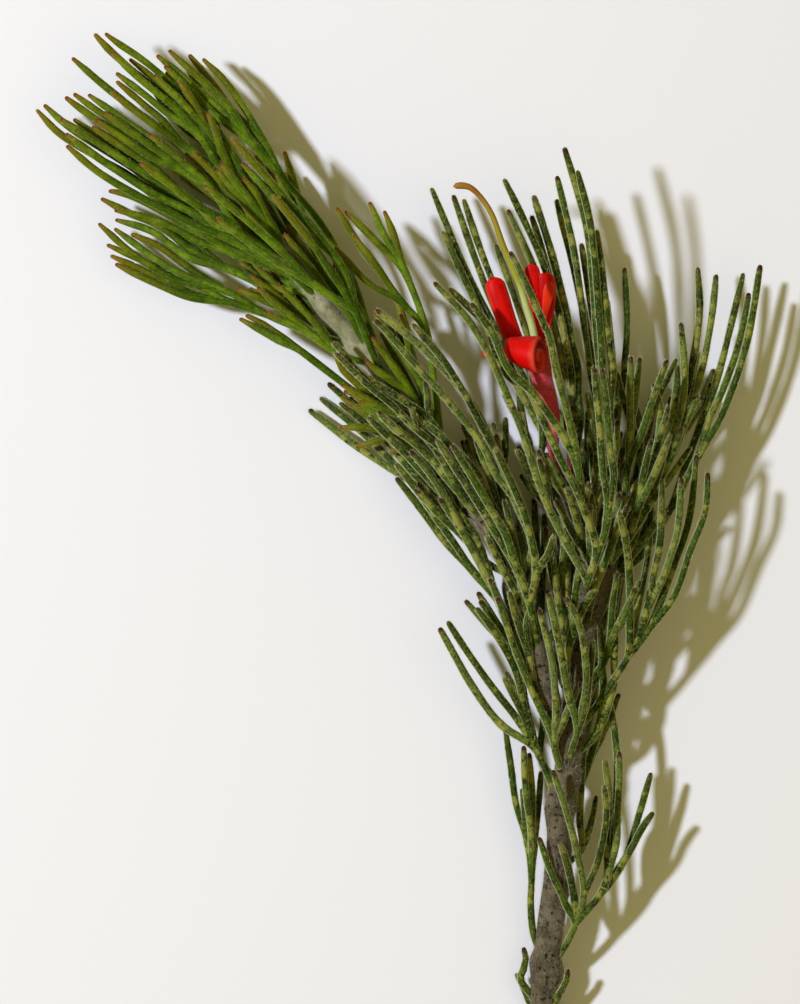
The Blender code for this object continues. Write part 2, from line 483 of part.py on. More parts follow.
def placed_leaf(leaf, path, draws):
    """The leaf's base, the places its stalk passes, its fork, and each arm's split and lobes."""
    base, ahead = nearest_on(path, leaf.base)
    mean_rise = float(np.mean([arm.rise for arm in leaf.arms]))
    fork = np.array((*leaf.fork, base[2] + 0.55 * (mean_rise - base[2])))
    if leaf.stalk:
        stalk = raised([np.array(place) for place in leaf.stalk], base, fork)
    else:
        span = np.linalg.norm(fork - base)
        stalk = [base + 0.24 * span * ahead + 0.16 * (fork - base)]
    ends = []
    for arm in leaf.arms:
        heights = arm.rise + leaf.depth * draws.uniform(-1.0, 1.0, len(arm.tips))
        ends.append(np.array([(tip[0], tip[1], z) for tip, z in zip(arm.tips, heights)]))
    centre = np.mean([group.mean(axis=0) for group in ends], axis=0) - fork
    centre /= np.linalg.norm(centre)
    arms = []
    for arm, group in zip(leaf.arms, ends):
        middle = group.mean(axis=0)
        origin, axis, shares = fork, centre, LOBE_SHARES
        split = bowed(fork, centre, middle, SPLIT_SHARE)
        passed = [tip[2:4] for tip in arm.tips if len(tip) > 2]
        if arm.split or passed:
            split[:2] = arm.split or np.mean(passed, axis=0)
            share = np.linalg.norm(split[:2] - fork[:2]) / np.linalg.norm(middle[:2] - fork[:2])
            split[2] = fork[2] + share * (middle[2] - fork[2])
            origin, shares = split, SPLIT_LOBE_SHARES
            axis = (middle - split) / np.linalg.norm(middle - split)
        lobes = []
        for tip, end in zip(arm.tips, group):
            on_way = [bowed(origin, axis, end, share) for share in shares]
            if len(tip) > 2:
                on_way = raised(pairs(tip[2 if arm.split else 4:]), split, end)
            lobes.append((on_way, end))
        arms.append((split, lobes))
    return base, stalk, fork, arms


def leaf_in_row(row, path, radii, share, turn, draws):
    """A leaf by rule: it leaves the axis at this turn round it and leans forward."""
    length = row.length
    k = int(share * (len(path) - 2))
    ahead = path[k + 1] - path[k]
    ahead /= np.linalg.norm(ahead)
    side = np.cross(ahead, UP)
    side /= np.linalg.norm(side)
    below = np.cross(ahead, side)
    out = np.cos(turn) * side + np.sin(turn) * below
    fan = np.cross(ahead, out)
    lean = ahead * np.cos(row.spread) + out * np.sin(row.spread)
    base = path[k]
    fork = base + 0.3 * length * lean + radii[k] * out
    stalk = [base + 0.12 * length * ahead + 0.8 * radii[k] * out]
    arms = []
    for slant in row.slants:
        middle = base + length * lean + slant * ARM_SPACING * fan
        split = fork + SPLIT_SHARE * (middle - fork)
        lobes = []
        for offset in (-0.5, 0.5):
            end = middle + offset * 2.6 * out + draws.uniform(-2.0, 2.0) * ahead
            on_way = split + 0.45 * (end - split) + 0.12 * (end - middle)
            lobes.append(([on_way], end))
        arms.append((split, lobes))
    return base, stalk, fork, arms


def tubes_of(node, number, placed, tip_ring):
    """The leaf's lobes as tubes: one carries the stalk, and the others start inside their parent."""
    base, stalk, fork, arms = placed
    main = len(arms) // 2
    found = []
    for k, (split, lobes) in enumerate(arms):
        for j, (on_way, end) in enumerate(lobes):
            route = smooth_route([base, *stalk, fork, split, *on_way, end], SAMPLE_SPACING)
            if k == main and j == 0:
                start = 0
            else:
                root = fork if j == 0 else split
                start = int(np.argmin(np.linalg.norm(route - root, axis=1)))
            free_from = int(np.argmin(np.linalg.norm(route - split, axis=1)))
            at = lengths_along(route)
            freedom = np.clip((at - at[free_from]) / RELEASE_LENGTH, 0.0, 1.0)
            freedom = freedom**2 * (3.0 - 2.0 * freedom)
            radii = np.where(at < at[free_from], STALK_RADIUS, LOBE_RADIUS)
            near_tip = np.clip((at[-1] - at) / LOBE_TIP_LENGTH, 0.0, 1.0)
            radii = radii * (0.55 + 0.45 * np.sqrt(near_tip))
            found.append(
                Tube(node, number, route[start:], freedom[start:], radii[start:], tip_ring))
    return found


def all_tubes(paths):
    """Every leaf of the sprig as tubes."""
    tubes = []
    number = 0
    for leaves in (OLD_LEAVES, YOUNG_LEAVES):
        for leaf in leaves:
            placed = placed_leaf(leaf, paths[leaf.axis][0], np.random.default_rng(number))
            tubes += tubes_of(AXES[leaf.axis].node, number, placed, True)
            number += 1
    for row in LEAF_ROWS:
        for k in range(row.count):
            share = row.first + (row.last - row.first) * k / (row.count - 1)
            part_turn = (row.turn + k * GOLDEN_ANGLE) / TAU % 1.0
            turn = np.pi * (row.sides[0] + (row.sides[1] - row.sides[0]) * part_turn)
            draws = np.random.default_rng(number)
            placed = leaf_in_row(row, *paths[row.axis], share, turn, draws)
            tubes += tubes_of(AXES[row.axis].node, number, placed, False)
            number += 1
    return tubes


def close_pairs(points, others, reach):
    """The pairs of a point and another that lie within reach of each other."""
    tree = KDTree(len(others))
    for k, place in enumerate(others):
        tree.insert(place, k)
    tree.balance()
    first, second = [], []
    for k, place in enumerate(points):
        found = [j for _, j, _ in tree.find_range(place, reach)]
        first += [k] * len(found)
        second += found
    return np.array(first), np.array(second)


def settle(tubes, solids):
    """Moves the lobes apart where they would touch, mostly up and down, and keeps them above the
    surface. The solids are samples with a radius and a node, and stay."""
    count = sum(len(t.path) for t in tubes)
    owner = np.concatenate([np.full(len(t.path), k) for k, t in enumerate(tubes)])
    leaf = np.array([t.leaf for t in tubes])[owner]
    node = np.array([t.node for t in tubes])[owner]
    freedom = np.concatenate([t.freedom for t in tubes])
    radii = np.concatenate([t.radii for t in tubes])
    starts = np.cumsum([0] + [len(t.path) for t in tubes])
    window = np.hanning(SMOOTHING_SAMPLES + 2)[1:-1]
    window /= window.sum()
    fixed = np.array([place for place, _, _ in solids])
    all_radii = np.concatenate([radii, [radius for _, radius, _ in solids]])
    all_nodes = np.concatenate([node, [name for _, _, name in solids]])
    points = np.concatenate([t.path for t in tubes])
    for step in range(SETTLING_STEPS):
        points[:, 2] = np.maximum(points[:, 2], RESTING_SHARE * radii)
        if step % 8 == 0:
            first, second = close_pairs(points, np.concatenate([points, fixed]), SETTLING_REACH)
            moving = second < count
            other = np.where(moving, second, 0)
            wanted = freedom[first] > 0.02
            wanted &= ~(moving & (owner[first] == owner[other]))
            wanted &= ~(moving & (leaf[first] == leaf[other]) & (freedom[first] < 0.5))
            first, second, moving, other = (x[wanted] for x in (first, second, moving, other))
            alike = node[first] == all_nodes[second]
            clear = np.where(alike, SAME_NODE_CLEARANCE, OTHER_NODE_CLEARANCE)
            apart = radii[first] + all_radii[second] + np.where(alike, 0.1, SOLID_CLEARANCE)
            clear = np.where(moving, clear, apart)
            share = freedom[first] / (freedom[first] + freedom[other])
            share = np.where(moving, share, 1.0)
            sign = np.where(owner[first] > owner[other], 1.0, -1.0) * moving
        away = points[first] - np.concatenate([points, fixed])[second]
        gap = np.linalg.norm(away, axis=1)
        touching = gap < clear
        lift = away[touching] * (1.0, 1.0, HEIGHT_PREFERENCE)
        lift[:, 2] += 0.15 * sign[touching]
        size = (clear - gap)[touching] * share[touching] * 0.5
        lift *= (size / np.linalg.norm(lift, axis=1))[:, None]
        push = np.stack([np.bincount(first[touching], lift[:, k], count) for k in range(3)], axis=1)
        for k in range(len(tubes)):
            part = slice(starts[k], starts[k + 1])
            if np.any(push[part]):
                for axis in range(3):
                    padded = np.pad(push[part, axis], SMOOTHING_SAMPLES // 2, mode="edge")
                    points[part, axis] += np.convolve(padded, window, "valid") * freedom[part]
    points[:, 2] = np.maximum(points[:, 2], RESTING_SHARE * radii)
    for k, tube in enumerate(tubes):
        tube.path = points[starts[k]:starts[k + 1]]


def frames_along(path):
    """For each point of the path, two directions across it, turned as little as possible."""
    ahead = np.gradient(path, axis=0)
    ahead /= np.linalg.norm(ahead, axis=1)[:, None]
    across = np.cross(ahead[0], UP)
    if np.linalg.norm(across) < 0.1:
        across = np.cross(ahead[0], (1.0, 0.0, 0.0))
    frames = []
    for direction in ahead:
        across = across - np.dot(across, direction) * direction
        across /= np.linalg.norm(across)
        frames.append((across, np.cross(direction, across)))
    return frames


def tube_mesh(path, radii, sides, phase=0.5):
    """Points and faces of a closed tube round the path, with a ring at each of its points."""
    verts = []
    for place, radius, (across, over) in zip(path, radii, frames_along(path)):
        for k in range(sides):
            angle = TAU * (k + phase) / sides
            verts.append(place + radius * (np.cos(angle) * across + np.sin(angle) * over))
    faces = []
    for ring in range(len(path) - 1):
        for k in range(sides):
            a, b = ring * sides + k, ring * sides + (k + 1) % sides
            faces.append((a, b, b + sides, a + sides))
    faces.append(tuple(range(sides))[::-1])
    last = (len(path) - 1) * sides
    faces.append(tuple(range(last, last + sides)))
    return verts, faces


def thinned(path, radii, spacing, ending=()):
    """The path and radii at wider spacing, with extra places at these distances from its end."""
    at = lengths_along(path)
    marks = [at[-1] - back for back in ending if back < at[-1]]
    until = min(marks, default=at[-1])
    count = max(2, int(round(until / spacing)) + 1)
    places = np.array(sorted({*np.linspace(0.0, until, count), *marks, at[-1]}))
    rows = [np.interp(places, at, path[:, k]) for k in range(3)]
    return np.stack(rows, axis=1), np.interp(places, at, radii)


def bends(path, tolerance, tip_ring):
    """The numbers of the points that a lobe needs so that its line keeps within the tolerance of
    its path, and of the point where its tip starts if that has a ring of its own."""
    last = len(path) - 1
    kept = {0, last}
    if tip_ring:
        kept.add(max(1, last - round(LOBE_TIP_LENGTH / SAMPLE_SPACING)))
    spans = [(0, last)]
    while spans:
        first, last = spans.pop()
        away = path[first:last + 1] - path[first]
        way = away[-1] / np.linalg.norm(away[-1])
        away = np.linalg.norm(away - np.outer(away @ way, way), axis=1)
        if away.max() > tolerance:
            middle = first + int(np.argmax(away))
            kept.add(middle)
            spans += [(first, middle), (middle, last)]
    return sorted(kept)


def new_object(name, verts, faces):
    """A mesh object from points in millimetres. What would reach below the surface is flat on it."""
    verts = np.array(verts)
    verts[:, 2] = np.maximum(verts[:, 2], 0.0)
    mesh = bpy.data.meshes.new(name)
    mesh.from_pydata((verts * MM).tolist(), [], faces)
    mesh.validate()
    obj = bpy.data.objects.new(name, mesh)
    bpy.context.scene.collection.objects.link(obj)
    return obj


def finish(obj, colour, roughness):
    """Gives the object its own material and smooth shading with sharp creases."""
    material = bpy.data.materials.new(obj.name)
    material.use_nodes = True
    shader = material.node_tree.nodes["Principled BSDF"]
    shader.inputs["Base Color"].default_value = (*colour, 1.0)
    shader.inputs["Roughness"].default_value = roughness
    shader.inputs["Metallic"].default_value = 0.0
    obj.data.materials.clear()
    obj.data.materials.append(material)
    obj.data.shade_smooth()
    obj.data.set_sharp_from_angle(angle=np.radians(50.0))


def fill_hollows(mesh):
    """Removes the shells that crossing lobes leave round sealed hollows inside the body, and the
    crumbs that they leave where faces graze."""
    shape = bmesh.new()
    shape.from_mesh(mesh)
    unseen = set(shape.faces)
    inner = []
    while unseen:
        shell = [unseen.pop()]
        for face in shell:
            for edge in face.edges:
                for other in edge.link_faces:
                    if other in unseen:
                        unseen.remove(other)
                        shell.append(other)
        volume = sum(face.calc_center_median().dot(face.normal) * face.calc_area() for face in shell)
        if volume < CRUMB_VOLUME * MM**3:
            inner += shell
    bmesh.ops.delete(shape, geom=inner, context="FACES")
    shape.to_mesh(mesh)
    shape.free()


def boolean(obj, others, operation):
    """Joins the others to the object, or cuts them from it, and removes them."""
    group = bpy.data.collections.new("joined")
    bpy.context.scene.collection.children.link(group)
    for other in others:
        bpy.context.scene.collection.objects.unlink(other)
        group.objects.link(other)
    modifier = obj.modifiers.new("join", "BOOLEAN")
    modifier.operation = operation
    modifier.solver = "MANIFOLD"
    modifier.operand_type = "COLLECTION"
    modifier.collection = group
    graph = bpy.context.evaluated_depsgraph_get()
    joined = bpy.data.meshes.new_from_object(obj.evaluated_get(graph))
    obj.modifiers.remove(modifier)
    fill_hollows(joined)
    obj.data = joined
    for other in others:
        bpy.data.objects.remove(other)
    bpy.data.collections.remove(group)


def leafy_node(name, paths, tubes):
    """The axes and lobes of one node, joined in one body."""
    stems = []
    for key, axis in AXES.items():
        if axis.node == name:
            path, radii = thinned(*paths[key], STEM_RING_SPACING, (2.5,))
            radii[-1] *= 0.7
            sides = STEM_SIDES if key == "stem" else BRANCH_SIDES
            stems.append(new_object(name, *tube_mesh(path, radii, sides, 0.0)))
    body, others = stems[0], stems[1:]
    for tube in tubes:
        if tube.node == name:
            corners = tube.radii * LOBE_CORNER_SHARE
            kept = bends(tube.path, LOBE_TOLERANCE, tube.tip_ring)
            mesh = tube_mesh(tube.path[kept], corners[kept], LOBE_SIDES)
            others.append(new_object("lobe", *mesh))
    boolean(body, others, "UNION")
    body.name = name
    return body


def strap_mesh(route, widths, facing, curl, thickness, across=4):
    """Points and faces of a closed strap. Its middle faces the given direction at each place, and
    its cross-section is an arc with the margins turned away from there."""
    ahead = np.gradient(route, axis=0)
    verts = []
    for place, along, width, face in zip(route, ahead, widths, facing):
        along = along / np.linalg.norm(along)
        out = face - np.dot(face, along) * along
        out /= np.linalg.norm(out)
        side = np.cross(along, out)
        bend = width / max(curl, 0.01)
        angles = np.linspace(-0.5, 0.5, across) * max(curl, 0.01)
        for lift, turns in ((0.5, angles), (-0.5, angles[::-1])):
            for angle in turns:
                normal = np.cos(angle) * out + np.sin(angle) * side
                verts.append(place - bend * out + (bend + lift * thickness) * normal)
    count = 2 * across
    faces = []
    for ring in range(len(route) - 1):
        for k in range(count):
            a, b = ring * count + k, ring * count + (k + 1) % count
            faces.append((a, b, b + count, a + count))
    for first, step in ((0, -1), ((len(route) - 1) * count, 1)):
        for k in range(across - 1):
            quad = (first + k, first + k + 1, first + count - 2 - k, first + count - 1 - k)
            faces.append(quad[::step])
    return verts, faces


def scroll():
    """The tepal that is rolled back on itself: its places, widths and the direction it faces."""
    turns = np.radians(np.linspace(*SCROLL_ANGLES, 15))
    radii = np.linspace(*SCROLL_RADII, 15)
    share = np.clip((turns - turns[0]) / np.radians(80.0), 0.0, 1.0)
    out = np.stack([np.zeros(15), np.cos(turns), np.sin(turns)], axis=1)
    route = np.array(SCROLL_CENTRE) + radii[:, None] * out
    route[:, 0] = SCROLL_ROOT_X + share * (SCROLL_CENTRE[0] - SCROLL_ROOT_X)
    widths = SCROLL_WIDTHS[0] + share * (SCROLL_WIDTHS[1] - SCROLL_WIDTHS[0])
    return route, widths, out


def coned(place):
    """Where a place on the straight roll lies on the cone, which widens to its open right end.
    That end is turned up a little."""
    aside = place[0] - SCROLL_CENTRE[0]
    grown = (1.0 + SCROLL_WIDENING * aside) * (np.array(place[1:]) - SCROLL_CENTRE[1:])
    y, z = SCROLL_CENTRE[1:] + grown + aside * np.array(SCROLL_LEAN)
    return np.array((place[0] - SCROLL_TILT * grown[1], y, z))


def tepal_places(tepal, spacing):
    """The places of a tepal at this spacing, with its widths there."""
    route = smooth_route(tepal.route, spacing)
    marks = lengths_along(np.array(tepal.route))
    at = lengths_along(route)
    return route, np.interp(at / at[-1], marks / marks[-1], tepal.widths)


def route_radii(route, radii, spacing):
    """A tube's places at this spacing, with its radii there."""
    path = smooth_route(route, spacing)
    marks = lengths_along(np.array(route))
    at = lengths_along(path)
    return path, np.interp(at / at[-1], marks / marks[-1], radii)


def flower_solids():
    """The flower as samples with a radius and a node, which the leaves keep clear of."""
    found = []
    rods = (("perianth", TUBE_ROUTE, TUBE_RADII), ("style", STYLE_ROUTE, STYLE_RADII),
            ("flower_bud", BUD_ROUTE, BUD_RADII))
    for name, route, radii in rods:
        places = route_radii(route, radii, SAMPLE_SPACING)
        found += [(place, radius, name) for place, radius in zip(*places)]
    for tepal in TEPALS:
        for place, width in zip(*tepal_places(tepal, 0.8)):
            for shift in (-0.3, 0.0, 0.3):
                found.append((place + (shift * width, 0.0, -0.3 * abs(shift)), 0.6, "perianth"))
    for place, width in zip(*scroll()[:2]):
        for share in (-0.4, -0.2, 0.0, 0.2, 0.4):
            found.append((coned(place + (share * width, 0.0, 0.0)), SCROLL_THICKNESS, "perianth"))
    return found


def flower():
    """The tube with its tepals, bored for the style, then the style and the bud."""
    places, radii = route_radii(TUBE_ROUTE, TUBE_RADII, 2.4)
    perianth = new_object("perianth", *tube_mesh(places, radii, TUBE_SIDES))
    straps = []
    for tepal in TEPALS:
        route, widths = tepal_places(tepal, 1.6)
        facing = np.tile(UP, (len(route), 1))
        mesh = strap_mesh(route, widths, facing, tepal.curl, PETAL_THICKNESS)
        straps.append(new_object("tepal", *mesh))
    verts, faces = strap_mesh(*scroll(), 0.0, SCROLL_THICKNESS, 3)
    straps.append(new_object("tepal", [coned(place) for place in verts], faces))
    boolean(perianth, straps, "UNION")
    path, radii = route_radii(STYLE_ROUTE, STYLE_RADII, 2.2)
    foot = path[0] + SEAT_GAP * (path[0] - path[1]) / np.linalg.norm(path[0] - path[1])
    bore = np.vstack([foot, path[1:3]])
    bore_radii = np.full(3, STYLE_RADII[0] + THROAT_CLEARANCE)
    cutter = new_object("bore", *tube_mesh(bore, bore_radii, TUBE_SIDES))
    boolean(perianth, [cutter], "DIFFERENCE")
    perianth.name = "perianth"
    style = new_object("style", *tube_mesh(path, radii, STYLE_SIDES))
    bud = new_object("flower_bud", *tube_mesh(*route_radii(BUD_ROUTE, BUD_RADII, 1.8), BUD_SIDES))
    return perianth, style, bud


def clear_scene():
    """Removes whatever the scene holds."""
    for obj in list(bpy.data.objects):
        bpy.data.objects.remove(obj)


def main():
    """Builds every piece of the sprig."""
    clear_scene()
    paths = routes()
    solids = [(place, radius, AXES[name].node)
              for name, (path, radii) in paths.items() for place, radius in zip(path, radii)]
    tubes = all_tubes(paths)
    settle(tubes, solids + flower_solids())
    finish(leafy_node("old_leafy_stem", paths, tubes), (0.10, 0.14, 0.05), 0.8)
    finish(leafy_node("young_leafy_shoot", paths, tubes), (0.11, 0.22, 0.02), 0.7)
    perianth, style, bud = flower()
    finish(perianth, (0.72, 0.01, 0.0), 0.5)
    finish(style, (0.42, 0.36, 0.05), 0.5)
    finish(bud, (0.16, 0.01, 0.01), 0.6)


if __name__ == "__main__":
    main()
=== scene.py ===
"""The looks of a cut, flowering sprig of woolly bush, dressed round its fixed frame.

The frame has +Z up, the surface at z = 0 and the sprig along +Y with its cut end towards -Y. Sizes
and places are in millimetres here, and every mesh is made in metres.

The stems, the leaves with their thin round lobes, the down on them, the flower and its style are
each built by a class of their own, on the same routes as the frame's solids.
"""

import logging
from dataclasses import dataclass, field
from enum import Enum

import bmesh
import bpy
import numpy as np
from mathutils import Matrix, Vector
from mathutils.kdtree import KDTree


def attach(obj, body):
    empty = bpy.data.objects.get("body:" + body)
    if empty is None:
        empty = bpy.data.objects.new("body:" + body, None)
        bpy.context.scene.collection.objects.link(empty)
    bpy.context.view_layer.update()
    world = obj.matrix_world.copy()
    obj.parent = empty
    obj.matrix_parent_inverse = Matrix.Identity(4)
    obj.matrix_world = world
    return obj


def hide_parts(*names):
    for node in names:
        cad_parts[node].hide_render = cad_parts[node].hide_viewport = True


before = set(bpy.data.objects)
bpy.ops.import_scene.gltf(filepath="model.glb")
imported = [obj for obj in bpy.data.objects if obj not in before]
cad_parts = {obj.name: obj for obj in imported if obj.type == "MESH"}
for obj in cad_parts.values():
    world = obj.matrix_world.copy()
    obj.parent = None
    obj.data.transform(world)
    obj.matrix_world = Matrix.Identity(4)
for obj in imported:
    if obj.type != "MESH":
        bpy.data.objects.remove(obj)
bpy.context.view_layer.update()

LOG = logging.getLogger("sprig")
MM = 0.001
TAU = 2.0 * np.pi
UP = np.array((0.0, 0.0, 1.0))
BODY = "root"

# Sockets of the colour mix node, which has one set for each kind of value
MIX_A, MIX_B, MIX_RESULT = 6, 7, 2

# Samples between two places of a route, and how short a cross product marks an upright one
CURVE_STEPS = 24
NEARLY_UPRIGHT = 0.1

# Points closer than this, in metres, are one
WELD_DISTANCE = 1e-7

# How steeply hairs gather towards the margins, and their least and greatest share of full size
MARGIN_POWER = 4.0
HAIR_SIZES = (0.55, 1.25)


class Foliage(Enum):
    """The two kinds of foliage, each named for the frame's node that holds it."""

    OLD = "old_leafy_stem"
    YOUNG = "young_leafy_shoot"


class Slot(Enum):
    """The record's material slots."""

    OLD = "old_foliage"
    YOUNG = "young_foliage"
    PETAL = "petal"
    STYLE = "style"
    BUD = "bud"


@dataclass(frozen=True)
class Axis:
    """One stem: the foliage it belongs to, the points that it passes and its radius at each."""

    foliage: Foliage
    route: tuple
    radii: tuple


@dataclass(frozen=True)
class Arm:
    """One segment of a leaf, which divides into lobes at its split. Each tip is x and y, then x
    and y of the places that its lobe passes from its foot on. The mean height of the tips is rise.
    Where no split is given, it is the middle of the first places passed, or comes by rule."""

    rise: float
    tips: tuple
    split: tuple = ()


@dataclass(frozen=True)
class Leaf:
    """A leaf whose stalk leaves an axis at base and first divides at fork, as seen from above."""

    axis: str
    base: tuple
    fork: tuple
    arms: tuple
    depth: float = 1.2
    stalk: tuple = ()


@dataclass
class Lobe:
    """One lobe with the part of its leaf below it that it carries: samples along its middle, how
    free each is to move, the radius that it settles with, whether each is on the stalk, and how
    far up the leaf it starts."""

    axis: str
    foliage: Foliage
    leaf: int
    path: np.ndarray
    freedom: np.ndarray
    radii: np.ndarray
    stalk: np.ndarray
    offset: float


AXES = {
    "stem": Axis(
        Foliage.OLD,
        ((17.4, -66.1, 1.5), (17.6, -62.4, 1.5), (18.0, -55.0, 2.7), (18.5, -48.2, 4.2),
         (19.4, -40.8, 5.5), (20.0, -32.0, 6.7), (21.0, -23.2, 7.6), (22.2, -14.5, 8.5),
         (23.5, -5.8, 9.3), (25.6, 1.1, 9.8), (27.5, 6.0, 10.0), (28.6, 9.8, 10.0)),
        (1.75, 1.75, 1.75, 1.7, 1.6, 1.5, 1.45, 1.4, 1.35, 1.25, 1.1, 0.8),
    ),
    "floral": Axis(
        Foliage.OLD,
        ((23.6, -5.2, 9.4), (23.1, 0.5, 10.4), (22.4, 5.0, 11.2), (19.8, 10.7, 12.3)),
        (1.1, 1.05, 1.0, 0.8),
    ),
    "branch": Axis(
        Foliage.OLD,
        ((20.7, -25.0, 7.4), (18.5, -15.8, 8.4), (16.0, -7.0, 9.2), (13.1, 1.1, 9.6),
         (8.8, 8.6, 9.8)),
        (1.25, 1.2, 1.15, 1.15, 1.1),
    ),
    "shoot": Axis(
        Foliage.YOUNG,
        ((8.7, 8.9, 9.8), (3.8, 15.5, 9.8), (-1.2, 22.4, 9.6), (-6.0, 28.4, 9.4),
         (-11.0, 34.9, 9.0), (-16.2, 41.1, 8.6), (-21.0, 46.0, 8.2)),
        (1.1, 1.1, 1.1, 1.05, 0.95, 0.8, 0.6),
    ),
}

